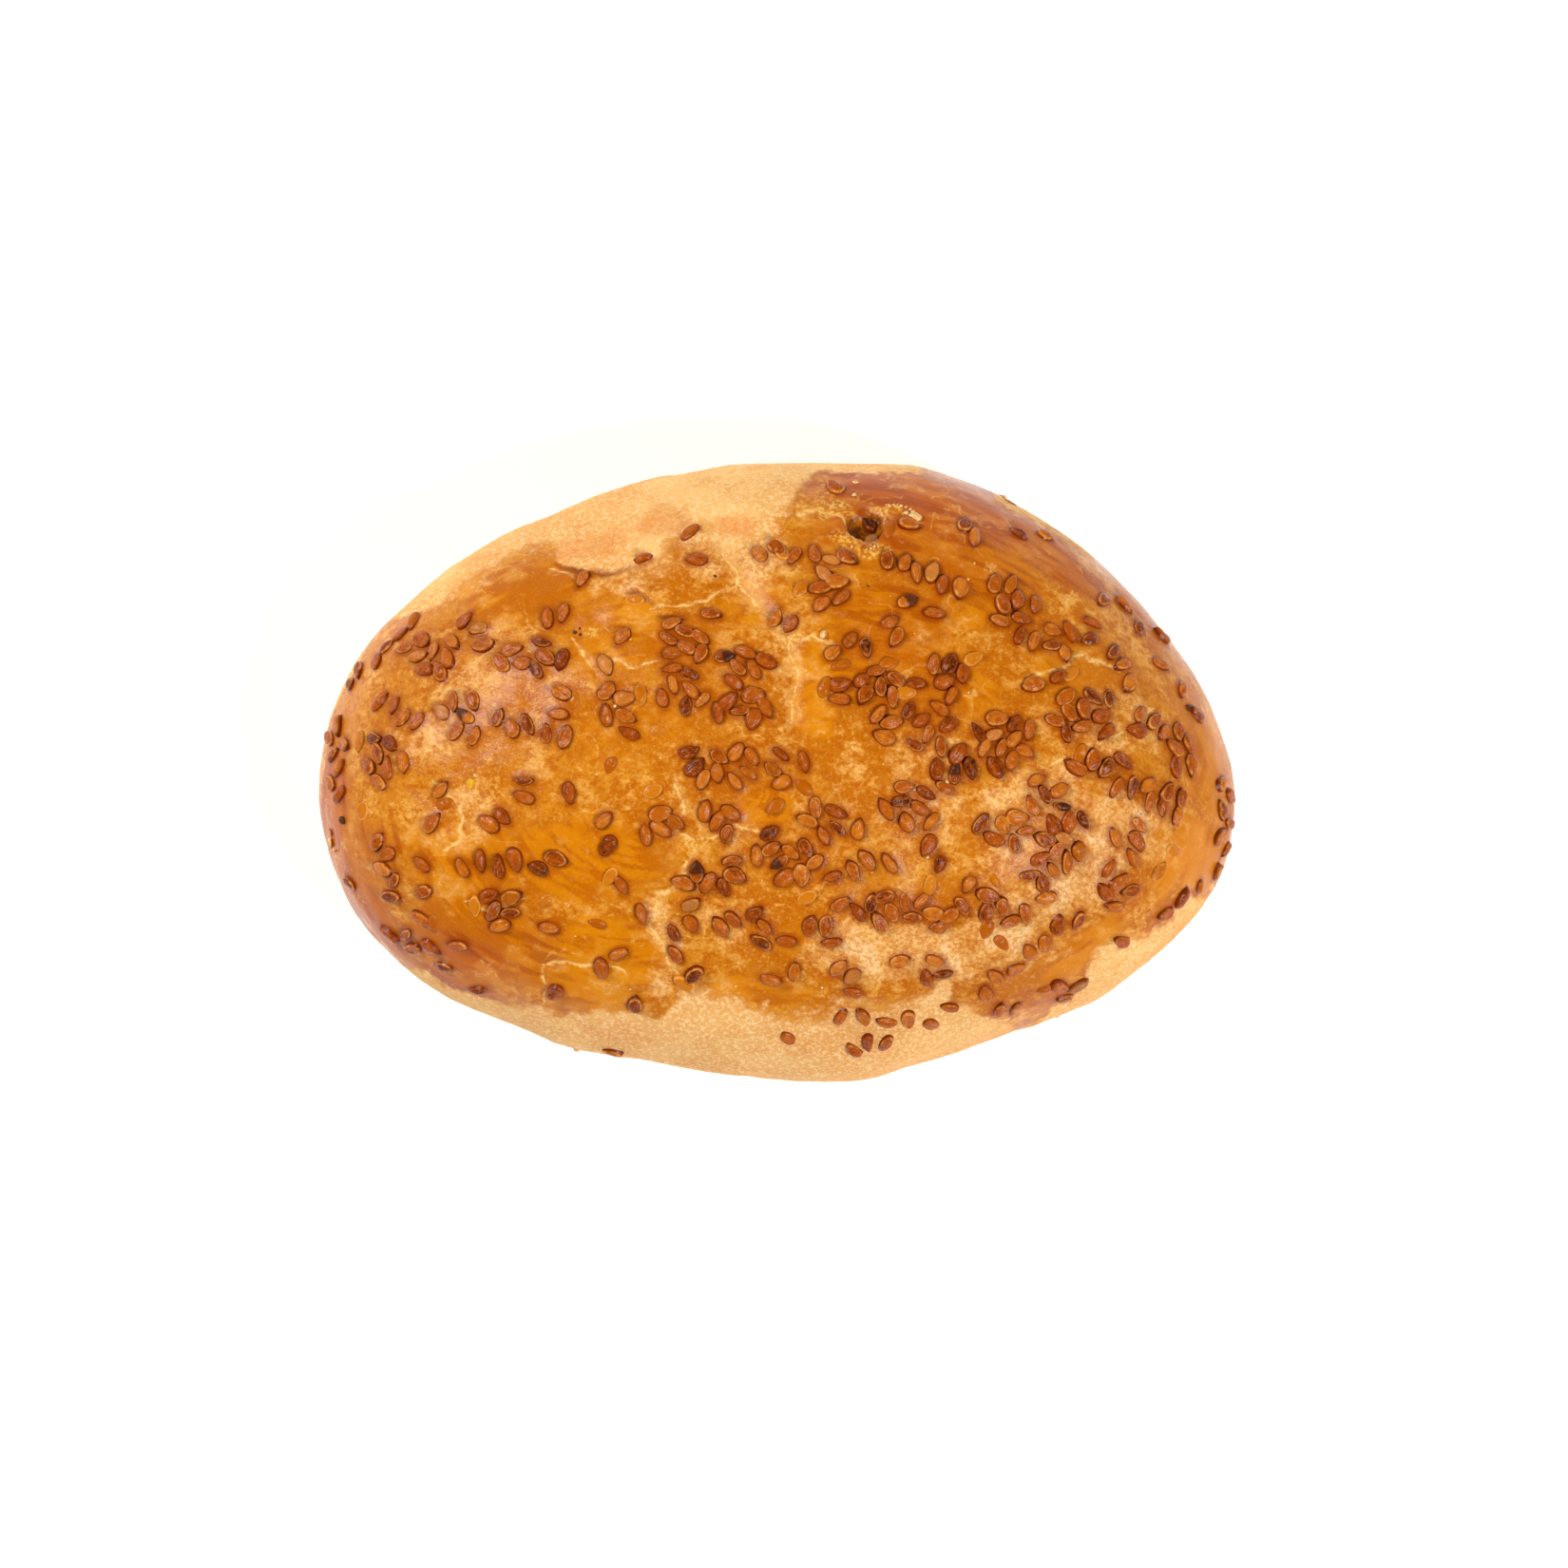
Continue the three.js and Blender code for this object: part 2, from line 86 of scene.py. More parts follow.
# Soft seams where the glaze split: (depth, half width, route)
SEAMS = [
    (0.55, 2.2, [(-6, 32), (-5, 23), (1.5, 17), (2.2, 5)]),
    (0.45, 2.0, [(-14, -4), (-12, -11), (-16, -18), (-14, -31)]),
    (0.35, 1.6, [(-5, 23), (-16, 20), (-27, 18)]),
    (0.3, 1.6, [(-46, -3), (-41, -9), (-31, -26)]),
]
# (wavelength, height)
LUMPS = [(41, 0.35), (19, 0.2), (9.5, 0.09)]
# Lifted skin: (the torn edge's start, middle and end, reach above it, rise)
FLAPS = [
    (((-30.2, 27.8), (-25, 24.2), (-17, 27.8)), 4.5, 0.55),
    (((-20.5, 23.2), (-17.8, 24.2), (-15.6, 21.4)), 3.0, 0.4),
    (((-16.4, 20.6), (-14, 19.9), (-11.4, 20.4)), 2.6, 0.4),
]
# The broken blister: (x, y, across, along, depth), and its seeds: (x, y, sunk)
PIT = (11.6, 32.2, 5.6, 4.8, 2.0)
PIT_SEEDS = [(12, 33.2, 1.5), (12.3, 30.2, 0.85)]
ROW_HALF_WIDTH = 1.3
# The seeds' clumps and rows: (x, y, half length, half width, turn in degrees, how many)
STREWN = [
    (-53, 15.5, 7.2, 0.4, 41, 6), (-46.3, 15.2, 3.4, 2.2, 0, 8), (-39.9, 18, 2.6, 0.6, -50, 3),
    (-29.5, 20.1, 1.5, 0.2, 8, 2), (-32.7, 14.6, 4.6, 1.8, 5, 7), (-28, 9.8, 0, 0, 0, 1),
    (-42, 7.2, 3.2, 3.8, 0, 6), (-50.2, 7.4, 3.4, 0.5, -38, 4), (-58.8, 1.8, 6.2, 1.5, 92, 7),
    (-51.8, 1.4, 3.2, 3.4, 0, 7), (-36, 5.8, 2.6, 0.5, -45, 2), (-30.5, 5.8, 3.4, 2.8, 0, 4),
    (-22.8, 11.6, 3.2, 0.6, 80, 2), (-20.6, 6.6, 2.8, 2.6, 0, 4), (-20.4, 17.5, 0, 0, 0, 1),
    (-26, 25, 0, 0, 0, 1), (-14.6, 29.7, 7.4, 0.2, 27, 2), (-10.6, 27.8, 0, 0, 0, 1),
    (-12.6, 16.8, 3.6, 2.2, -35, 7), (-12.4, 10.2, 3.2, 3.2, 0, 7), (-8.7, 20.7, 0, 0, 0, 1),
    (0.8, 19.6, 2, 0.3, -50, 2), (-4.2, 13.4, 3.4, 2.2, 0, 6), (-4.2, 8, 4, 1.8, -5, 6),
    (-4.6, 0.2, 8.8, 2.2, 0, 13), (3.6, 28.2, 7, 1, -8, 6), (7.2, 23.6, 2.4, 2.2, 0, 5),
    (19.4, 25.6, 5.8, 0.8, -25, 6), (18.8, 21.2, 3.4, 0.5, -35, 2), (15.2, 18.6, 2.2, 0.3, 100, 2),
    (9.6, 16.2, 3.4, 1, 10, 3), (12.4, 10.8, 6.3, 2.4, 5, 9), (17.4, 5.8, 6.4, 2.4, 0, 9),
    (22.8, 12.4, 2.2, 3, 0, 5), (7.7, 37.1, 0, 0, 0, 1), (17.1, 31.6, 0, 0, 0, 1),
    (25.4, 30.8, 1.8, 0.2, -60, 2), (33.6, 30.6, 3.8, 0.2, -5, 2), (31.2, 21.6, 3.6, 4.2, 20, 8),
    (38.6, 17.2, 5, 2.4, 5, 7), (47.4, 20.2, 6.4, 0.9, -36, 4), (45.8, 13.4, 3.4, 0.6, -70, 3),
    (35.4, 11.4, 3.6, 0.4, 8, 2), (53.8, 10.6, 6, 0.4, -50, 3), (39.8, 7.2, 4.4, 2.3, 10, 9),
    (49, 5.4, 2.6, 1.6, 0, 4), (53.7, 2.4, 3.2, 1.5, -80, 5), (43.4, 4.6, 0, 0, 0, 1),
    (30, 3.4, 3.6, 3.8, 0, 11), (23, 0.4, 3, 3, 0, 6), (42.4, 0.6, 4.4, 0.8, 0, 4),
    (36.6, -4.8, 5.2, 2.4, -35, 8), (29.6, -8.2, 4.6, 1.8, -5, 6), (36.8, -10.8, 2.8, 2.1, 0, 7),
    (34.6, -15, 2.6, 0.9, -60, 3), (30, -18.6, 3.2, 1, -20, 4), (26.4, -15.8, 2.2, 1, -50, 2),
    (33.4, -24.2, 9, 0.8, 40, 7), (30.5, -32, 2, 0.3, -20, 2), (38.2, -29.6, 2.6, 1.4, -20, 3),
    (46.6, -2.5, 3, 0.4, 0, 3), (51.4, -4.6, 3, 1.4, -10, 5), (59.6, -6.4, 5.4, 1.2, 90, 6),
    (46.2, -9.6, 3.4, 1.8, 0, 4), (44.6, -15.4, 2.6, 2.8, 0, 5), (45.6, -22.6, 0, 0, 0, 1),
    (55, -16.6, 6, 0.6, 32, 4), (-7.6, -6.4, 1.9, 2.2, 0, 4), (7, -6.8, 4.8, 1.9, -10, 6),
    (17.4, -5.2, 4.2, 3, 0, 7), (20.4, -11.4, 2.6, 0.6, -70, 2), (2, -12, 6.4, 2.4, -20, 10),
    (12.2, -12.4, 4, 1, 10, 3), (-8.2, -14.4, 4.4, 1.8, 10, 6), (-15.6, -7.4, 2.4, 1.8, 20, 4),
    (-12.6, -21.4, 4.6, 1.2, 62, 4), (-3.6, -21, 5.4, 2, -20, 6), (16.6, -18.6, 9, 1.8, -3, 13),
    (6, -21.4, 2.6, 0.7, -30, 3), (0.8, -27.4, 3.2, 0.2, 20, 2), (9.4, -27.8, 3, 0.3, -55, 3),
    (21.2, -26.4, 1.8, 1.3, 0, 3), (16.3, -25.4, 0, 0, 0, 1), (23.1, -31.8, 0, 0, 0, 1),
    (14.4, -33.4, 7.6, 0.5, -6, 5), (12.2, -36.8, 3.4, 0.3, 5, 3), (1.5, -36, 0, 0, 0, 1),
    (-11.2, -27.7, 0, 0, 0, 1), (-44.8, -4.8, 4.4, 0.2, 70, 2), (-51.2, -12.9, 4.4, 0.9, -75, 5),
    (-56.7, -14.9, 0, 0, 0, 1), (-46.4, -15.8, 5.6, 0.3, -88, 3), (-48.6, -22.6, 3.6, 1.2, -30, 4),
    (-44, -26.4, 2.6, 0.3, -45, 1), (-33.2, -2.6, 1.8, 0.3, 65, 2), (-27.3, -3.4, 0, 0, 0, 1),
    (-37, -7, 2, 0.3, 20, 2), (-35.4, -12.6, 7.2, 0.8, 0, 6), (-36.8, -18.4, 2.6, 2.5, 0, 5),
    (-30.2, -21.1, 0, 0, 0, 1), (-40.9, -26.4, 7, 0.2, -72, 2), (-22.6, -8.6, 3.6, 0.3, 90, 2),
    (-19.4, -17.4, 5, 0.4, -65, 2), (-22.4, -25.6, 2.8, 0.3, 25, 2), (-24.1, -30.6, 11, 0.2, -8, 2),
    (-22.3, -38.2, 0, 0, 0, 1),
]
GOLDEN_ANGLE = math.pi * (3 - math.sqrt(5))
DRAW_SEED = 1234


def draws(seed):
    """Numbers between 0 and 1, the same on every run."""
    state = seed
    while True:
        state = (state * 48271) % 2147483647
        yield state / 2147483647


def smoothstep(value, low, high):
    k = np.clip((value - low) / (high - low), 0, 1)
    return k * k * (3 - 2 * k)


def outline_radius(t):
    oval = 1 / np.hypot(np.cos(t) / (LENGTH / 2), np.sin(t) / (WIDTH / 2))
    share = 1.0
    for order, amount, phase in OUTLINE_WAVES:
        share = share + amount * np.cos(order * t - math.radians(phase))
    return oval * share


def profile(v):
    """Radius share and height of a level: 0 crown, 1 widest line, 2 edge of the base."""
    top = np.sin(np.minimum(v, 1) * math.pi / 2)
    rise = np.maximum(0, 1 - np.abs(top) ** DOME_POWER) ** (1 / DOME_POWER)
    turn = np.clip(v - 1, 0, 1) * math.pi / 2
    low = BASE_SHARE + (1 - BASE_SHARE) * np.maximum(0, np.cos(turn)) ** 0.85
    share = np.where(v <= 1, top, low)
    high = WIDEST_AT + (HEIGHT - WIDEST_AT) * rise
    return share, np.where(v <= 1, high, WIDEST_AT * (1 - np.sin(turn) ** 0.9))


def route_distance(x, y, route):
    """Distance in plan to a line of straight legs."""
    nearest = np.full(np.shape(x), np.inf)
    for (ax, ay), (bx, by) in zip(route, route[1:]):
        length = (bx - ax) ** 2 + (by - ay) ** 2
        k = np.clip(((x - ax) * (bx - ax) + (y - ay) * (by - ay)) / length, 0, 1)
        nearest = np.minimum(nearest, np.hypot(x - ax - k * (bx - ax), y - ay - k * (by - ay)))
    return nearest


def lumps(x, y, z):
    total = 0.0
    waves = 4 * len(LUMPS)
    for i in range(waves):
        wavelength, height = LUMPS[i // 4]
        up = 1 - 2 * (i + 0.5) / waves
        flat = math.sqrt(1 - up * up)
        turn = i * GOLDEN_ANGLE
        along = x * flat * math.cos(turn) + y * flat * math.sin(turn) + z * up
        total = total + height / 2 * np.sin(2 * math.pi * along / wavelength + 1.7 * i)
    return total


def relief(x, y, z):
    height = lumps(x, y, z)
    for cx, cy, radius, swell in SWELLS:
        height = height + swell * np.exp(-((x - cx) ** 2 + (y - cy) ** 2) / radius**2)
    on_top = smoothstep(z, WIDEST_AT, WIDEST_AT + 6)
    for depth, half_width, route in SEAMS:
        height = height - on_top * depth * np.exp(-((route_distance(x, y, route) / half_width) ** 2))
    return height * smoothstep(z, 0, 8)


def unit(vectors):
    return vectors / np.linalg.norm(vectors, axis=-1, keepdims=True)


def crust_points(t, v):
    share, z = profile(v)
    radius = share * outline_radius(t)
    x, y = radius * np.cos(t), radius * np.sin(t)
    rise = np.where(z > WIDEST_AT, HEIGHT - WIDEST_AT, WIDEST_AT)
    outward = np.stack([x / (LENGTH / 2) ** 2, y / (WIDTH / 2) ** 2, (z - WIDEST_AT) / rise**2], axis=-1)
    return np.stack([x, y, z], axis=-1) + unit(outward) * relief(x, y, z)[..., None]


def crust_frames(t, v):
    """Point, outward normal, and the directions round and up the crust."""
    step = 0.004
    around = unit(crust_points(t + step, v) - crust_points(t - step, v))
    down = unit(crust_points(t, v + step) - crust_points(t, v - step))
    normal = unit(np.cross(down, around))
    return crust_points(t, v), normal, around, np.cross(normal, around)


def on_dome(x, y, most=0.985):
    t = np.arctan2(y, x)
    share = np.minimum(most, np.hypot(x, y) / outline_radius(t))
    return t, np.arcsin(share) * 2 / math.pi


def even_levels(rings):
    fine = 400
    share, z = profile(np.arange(fine + 1) / fine)
    legs = np.hypot(np.diff(share) * (LENGTH + WIDTH) / 4, np.diff(z))
    lengths = np.concatenate([[0], np.cumsum(legs)])
    return np.interp(np.arange(rings + 1) / rings * lengths[-1], lengths, np.arange(fine + 1) / fine)


# ---- the seeds' places


def push_apart(places):
    for _ in range(12):
        for i in range(len(places)):
            for j in range(i + 1, len(places)):
                dx = places[j][0] - places[i][0]
                dy = places[j][1] - places[i][1]
                if abs(dx) >= SEED_APART or abs(dy) >= SEED_APART:
                    continue
                gap = math.hypot(dx, dy)
                if gap >= SEED_APART or gap < 1e-6:
                    continue
                push = 0.4 * (SEED_APART - gap) / gap
                places[i] = (places[i][0] - dx * push, places[i][1] - dy * push)
                places[j] = (places[j][0] + dx * push, places[j][1] + dy * push)


def lay_beside(x, y, places, draw):
    nearest = 1.3 * SEED_APART
    direction = 2 * math.pi * next(draw)
    sway = 1.1 * (next(draw) - 0.5)
    for ox, oy in places:
        gap = math.hypot(ox - x, oy - y)
        if gap < 1e-6 or gap >= nearest:
            continue
        nearest = gap
        direction = math.atan2(oy - y, ox - x) + math.pi / 2 + sway
    return direction


def strewn_seeds():
    """Every seed as t, v, sunk, heading, size, pitch, roll, drawn in the CAD source's order."""
    draw = draws(DRAW_SEED)
    places = []
    for patch, (x, y, half_length, half_width, turn, count) in enumerate(STREWN):
        c, s = math.cos(math.radians(turn)), math.sin(math.radians(turn))
        for k in range(count):
            reach = math.sqrt((k + 0.5) / count)
            angle = k * GOLDEN_ANGLE + patch
            in_row = half_width < ROW_HALF_WIDTH
            ahead = (2 * k + 1) / count - 1 if in_row else reach * math.cos(angle)
            aside = k % 2 - 0.5 if in_row else reach * math.sin(angle)
            along = half_length * ahead + 0.6 * (next(draw) - 0.5)
            across = half_width * aside + 0.6 * (next(draw) - 0.5)
            places.append((x + along * c - across * s, y + along * s + across * c))
    push_apart(places)
    seeds = []
    for x, y in places:
        t, v = on_dome(x, y)
        seeds.append([t, v, 0, lay_beside(x, y, places, draw) - t - math.pi / 2])
    for x, y, sunk in PIT_SEEDS:
        t, v = on_dome(x, y)
        seeds.append([t, v, sunk, 2 * math.pi * next(draw)])
    for seed in seeds:
        seed += [0.88 + 0.24 * next(draw), 0.12 * (next(draw) - 0.5), 0.16 * (next(draw) - 0.5)]
    return np.array(seeds, dtype=float)


# ---- Blender helpers


def srgb(r, g, b):
    """A colour as seen, 0 to 255, as linear light."""
    seen = [c / 255 for c in (r, g, b)]
    return tuple(c / 12.92 if c <= 0.04045 else ((c + 0.055) / 1.055) ** 2.4 for c in seen)


def make_mesh(name, points_mm, faces, material, looks=None):
    """A smooth mesh piece. Each name in looks gives three numbers for every point."""
    mesh = bpy.data.meshes.new(name)
    place = (np.asarray(points_mm) + [*CENTRING, 0]) * MM
    mesh.from_pydata(place.tolist(), [], np.asarray(faces).tolist())
    mesh.validate()
    for key, values in (looks or {}).items():
        layer = mesh.attributes.new(key, "FLOAT_COLOR", "POINT")
        opaque = np.concatenate([values, np.ones((len(values), 1))], axis=1)
        layer.data.foreach_set("color", opaque.astype(np.float32).ravel())
    mesh.polygons.foreach_set("use_smooth", [True] * len(mesh.polygons))
    mesh.materials.append(material)
    piece = bpy.data.objects.new(name, mesh)
    bpy.context.scene.collection.objects.link(piece)
    return piece


ASKEW = (0.61, 0.43, 0.77)


class Shader:
    """Short forms for building the nodes of one new material or world.

    Lengths are millimetres of the object, and colours are as seen, 0 to 255.
    """

    def __init__(self, name, kind="materials"):
        self.made = getattr(bpy.data, kind).new(name)
        self.made.use_nodes = True
        self.tree = self.made.node_tree
        self.tree.nodes.clear()
        self.place = self.scaled(self.node("TexCoord").outputs["Object"], 1 / MM, 1 / MM, 1 / MM)
        self.askew = self.turned(self.place)

    def plug(self, socket, value):
        if isinstance(value, bpy.types.NodeSocket):
            self.tree.links.new(value, socket)
        else:
            socket.default_value = value

    def node(self, kind, values=(), named=None, **settings):
        made = self.tree.nodes.new("ShaderNode" + kind)
        for key, value in settings.items():
            setattr(made, key, value)
        for key, value in [*enumerate(values), *(named or {}).items()]:
            if value is not None:
                self.plug(made.inputs[key], value)
        return made

    def scaled(self, place, x, y, z):
        return self.node("VectorMath", [place, (x, y, z)], operation="MULTIPLY").outputs[0]

    def turned(self, place):
        """The place turned askew, so that grain doesn't line up with the axes."""
        inputs = {"Vector": place, "Rotation": ASKEW}
        return self.node("VectorRotate", named=inputs, rotation_type="EULER_XYZ").outputs[0]

    def noise(self, size_mm, detail, roughness, place=None):
        inputs = {"Vector": place or self.askew, "Scale": 1 / size_mm}
        inputs |= {"Detail": detail, "Roughness": roughness}
        return self.node("TexNoise", named=inputs).outputs[0]

    def channels(self, name):
        """The three numbers that every point of the mesh has under this name."""
        colour = self.node("Attribute", attribute_name=name).outputs["Color"]
        return self.node("SeparateColor", [colour]).outputs[:3]

    def math(self, operation, *values, clamp=False):
        return self.node("Math", values, operation=operation, use_clamp=clamp).outputs[0]

    def add(self, total, *others):
        for value in others:
            total = self.math("ADD", total, value)
        return total

    def times(self, total, *others):
        for value in others:
            total = self.math("MULTIPLY", total, value)
        return total

    def swing(self, value, amount):
        """A value that runs from 0 to 1, moved to run round 0 and made this strong."""
        return self.times(self.math("SUBTRACT", value, 0.5), amount)

    def band(self, value, low, high, start=0.0, end=1.0):
        """Smoothly from start to end as value goes from low to high."""
        values = [value, low, high, start, end]
        return self.node("MapRange", values, interpolation_type="SMOOTHSTEP").outputs[0]

    def mix(self, share, a, b):
        made = self.node("Mix", [share], data_type="RGBA", clamp_factor=True)
        for key, colour in ((6, a), (7, b)):
            self.plug(made.inputs[key], (*srgb(*colour), 1) if isinstance(colour, tuple) else colour)
        return made.outputs[2]

    def layers(self, colour, *coats):
        """A colour under coats, the lowest first: (how much of the coat shows, its colour)."""
        for share, coat in coats:
            colour = self.mix(share, colour, coat)
        return colour

    def bump(self, height_mm):
        inputs = {"Height": height_mm, "Distance": MM, "Strength": 1}
        return self.node("Bump", named=inputs).outputs[0]

    def finish(self, colour, roughness, normal, **fixed):
        looks = {"Base Color": colour, "Roughness": roughness, "Normal": normal}
        looks |= {key.replace("_", " "): value for key, value in fixed.items()}
        body = self.node("BsdfPrincipled", named=looks)
        self.node("OutputMaterial", [body.outputs[0]])
        return self.made


# ---- where the crust looks how

# The edge of the egg wash, in plan: inside it is glazed, outside the flank is bare dough
WASH_EDGE = [
    (-66, 8), (-57, 14.5), (-52, 20), (-46, 22.5), (-41, 24.8), (-36, 27.2), (-31.5, 29.2), (-29, 27),
    (-25, 26), (-21, 26), (-18.4, 27.6), (-14, 29), (-10, 29.5), (-6, 29), (-2, 31), (1, 34), (3.4, 37),
    (5, 38.6), (8, 39.4), (12, 39.6), (16.5, 39.3), (19, 39.2), (21, 42), (29, 42), (29.5, 35.7),
    (34, 33.5), (38.5, 30.7), (42, 28.1), (44, 30), (64, 30), (70, 0), (66, -12), (58, -17), (51, -20.5),
    (46, -23), (41.5, -26), (39, -31), (33, -34.5), (27, -32), (22, -29.5), (14, -31.5), (5, -33),
    (-2, -31.8), (-9, -29.5), (-13, -29), (-15, -32.5), (-27, -32), (-33, -31.8), (-38, -31.5),
    (-44, -29.5), (-49, -27), (-55, -23), (-62, -16), (-66, -8),
]
# Patches in plan, each (x, y, half length, half width, turn in degrees, strength).
# Where the wash pooled and is a deeper amber:
HONEY = [
    (-34, 24, 9, 4, 12, 1), (-24, 21.5, 9, 3.4, 0, 0.65), (-41, -12, 9, 6, -10, 0.9),
    (-27, -12, 13, 6, 0, 1), (-24, -26, 10, 6.5, 0, 1.1), (-40, -22, 9, 7, -25, 1),
    (-21, 18, 9, 6, 0, 0.75), (-3, 22, 5, 3.4, 20, 0.8), (-2, -5, 4, 3, 10, 1), (5, 9, 3.4, 7, 10, 0.9),
    (13, 16, 9, 9, 20, 1), (-2, -29.4, 7.5, 1.8, 3, 1), (40, -24.5, 8, 2.2, 38, 0.9),
    (27, 24, 9, 6, -20, 1), (42, 13, 9, 6, -30, 0.6), (24, 10, 8, 5, 0, 0.7), (5, -22, 6, 3, 0, 0.6),
    (-14, 6, 7, 4, 0, 0.5), (54, -12, 6, 7, 20, 0.9), (57, 4, 4, 12, 10, 0.7), (-24, 4, 8, 4, 0, 0.5),
    (8, 29, 7, 4, 0, 0.8), (-33, -4, 5, 3, 0, 0.5),
]
# Where it baked brown:
BROWN = [
    (21, 35, 15, 4.6, -14, 0.9), (36, 28.5, 11, 2.8, -36, 0.6), (50, 19, 8, 2.4, -48, 0.35),
    (8.5, 37.5, 6, 2.4, 8, 0.8), (13, 31.5, 9, 4.2, -8, 0.7), (-59.5, -6, 2.6, 9, -8, 0.75),
    (-53.5, -20, 8, 2.6, -52, 0.65), (-43, -27.5, 8, 2.6, -28, 0.55), (-34, -24, 7, 5.5, -12, 0.45),
    (-40, -25, 6, 3, -20, 0.65), (53, -18.5, 6, 1.8, 35, 0.45), (36, -30.2, 6, 2.2, 25, 0.35),
    (-36, 24.2, 5, 1.8, 14, 0.25), (15, 20, 9, 6, 0, 0.45), (-54, -11, 5, 5, 0, 0.5),
    (-3, 32, 4.5, 1.5, -12, 0.5), (-11, 15, 7, 6, -20, 0.3), (27, 26, 9, 4, -20, 0.5),
]
# Where it is scuffed thin, and where it is painted paler as sheen of the lamps on the dome:
WORN_AND_SHEEN = [
    (-39.5, 11, 9, 6, -15, 0.3), (-48, 3, 6, 4, 0, 0.35), (27, -6, 11, 4, -12, 0.5),
    (38, -9, 11, 9, 0, 0.65), (32, -18, 8, 5, 20, 0.6), (40, -15, 6, 4, 0, 0.85),
    (18, -24.5, 11, 4.2, 0, 0.95), (-5, 28, 9, 4, 0, 0.45), (-18, 25.5, 8, 3, 8, 0.5),
    (46, 6, 7, 5, 0, 0.6), (28, -23, 9, 4, 0, 0.8), (8, 1, 7, 3.5, 0, 0.2), (-15, -22, 2.6, 8, 0, 0.6),
    (-42, -6, 6, 4, 0, 0.35), (10, -5, 8, 3, 0, 0.3), (47, -9, 8, 5, 0, 0.7), (0, 13, 3, 7, 0, 0.3),
    (-31, 1, 5, 3, 0, 0.1), (20, 2, 7, 4, 0, 0.35), (10, -23, 7, 4, 0, 0.6), (-4, -22, 5, 5, 0, 0.4),
]
# Where the edge of the wash fades out instead of ending:
FADED = [
    (-11, 29, 12, 5, 0, 1), (-37, 27.5, 8, 3, 25, 0.7), (-7, -30, 7, 3, 0, 0.7), (12, -32, 10, 4, 0, 1),
    (2, 36, 3, 5, 0, 0.5), (-62, 0, 4, 14, 0, 0.8), (48, -22, 8, 3, 35, 0.3),
]
# Where the bare skin next to the wash is smooth and peach:
PEACH = [
    (-26, 29.3, 6, 2.2, 12, 0.9), (-15, 32.4, 5, 2.4, 0, 0.9), (-5.7, 32.4, 3.6, 1.8, -10, 0.9),
    (-20, 31, 5, 1.6, 8, 0.6), (-40, 27, 6, 1.6, 28, 0.5), (-31, 33, 5, 1.4, 20, 0.35),
    (-50, 21.5, 4, 1.4, 40, 0.4), (30, -36, 6, 2, 15, 0.5), (8, -36.5, 7, 1.8, 0, 0.45),
    (-20, -35, 7, 1.8, 0, 0.4), (55, -21, 5, 1.6, 40, 0.5), (14, -38, 4, 1.2, 0, 0.4),
]
# Where the skin is broken up into crumbs:
CRUMBLY = [
    (7.2, 34.6, 2.6, 1.2, 10, 0.8), (9.2, 33.9, 1.8, 0.9, -30, 0.6), (9, 30.2, 2.2, 0.9, -25, 0.7),
    (12.6, 29, 2.6, 0.9, -5, 0.9), (15.4, 34.4, 2.6, 0.5, -18, 1), (17.9, 33, 1, 0.6, -50, 1),
    (6, 36.6, 1.4, 2.4, 0, 0.5), (-24.4, 18.2, 1.2, 0.8, 0, 0.6), (-11.8, -10.4, 1.6, 1, 0, 0.6),
    (-10.5, 3.6, 1.2, 0.8, 0, 0.5), (24.6, 0.5, 1.2, 0.8, 0, 0.4), (2.2, 17.4, 1.6, 1, 0, 0.5),
]
# The looks that come in patches: (patches, how far noise sways them, the size of that noise, its salt)
SWAYED_PATCHES = {
    "bake": (BROWN, 3, 7, 21),
    "honey": (HONEY, 3.5, 6, 23),
    "worn": (WORN_AND_SHEEN, 4, 6, 25),
    "peach": (PEACH, 3, 5, 27),
    "crumbly": (CRUMBLY, 1.6, 2, 29),
}
# Where the glaze tore and the pale dough shows: (half width, route)
TEARS = [
    (1.3, [(-8, 33), (-6.8, 28), (-5.2, 24), (-1.6, 20.6), (1.8, 16.5), (2.3, 11), (1.8, 6)]),
    (0.5, [(-5.2, 24), (-9, 22.6), (-13, 21.4), (-16.5, 21)]),
    (0.5, [(-16, 14.2), (-19, 13.6), (-21.5, 14.6), (-24.5, 13.2), (-26.5, 17.5)]),
    (0.45, [(1.8, 16.5), (5, 17.6), (7.5, 16.4)]),
    (0.6, [
        (-13.4, -1.5), (-12.2, -5.2), (-13, -8.6), (-11.2, -11), (-12.2, -14.6), (-15.4, -17),
        (-16.6, -21), (-13.6, -26), (-12.6, -30),
    ]),
    (0.4, [(-13, -8.6), (-9, -9.2), (-6, -7.6), (-1, -8.6)]),
    (0.45, [(-46, -1.8), (-42.4, -5), (-41.6, -8.6), (-43.6, -11)]),
    (0.35, [(-40.6, -17.6), (-36, -18.4), (-33, -17.4)]),
    (0.35, [(-31, -25.4), (-31.6, -28.4), (-30.8, -31)]),
    (0.35, [(-30.6, -26), (-25, -26.2), (-20, -26.8)]),
    (0.4, [(33.5, 12), (37, 13), (40.5, 15.5), (45, 13.4)]),
    (0.4, [(36.5, 0.8), (41, 3), (46, 4.6), (50, 8.2)]),
    (0.35, [(-30, 27), (-27, 25.6)]),
    (0.5, [(2, 33.6), (4.4, 34.4), (8.4, 33.8), (9.4, 31.6)]),
]
# The distance to a tear's line is kept up to this far
SEAM_REACH = 9.0
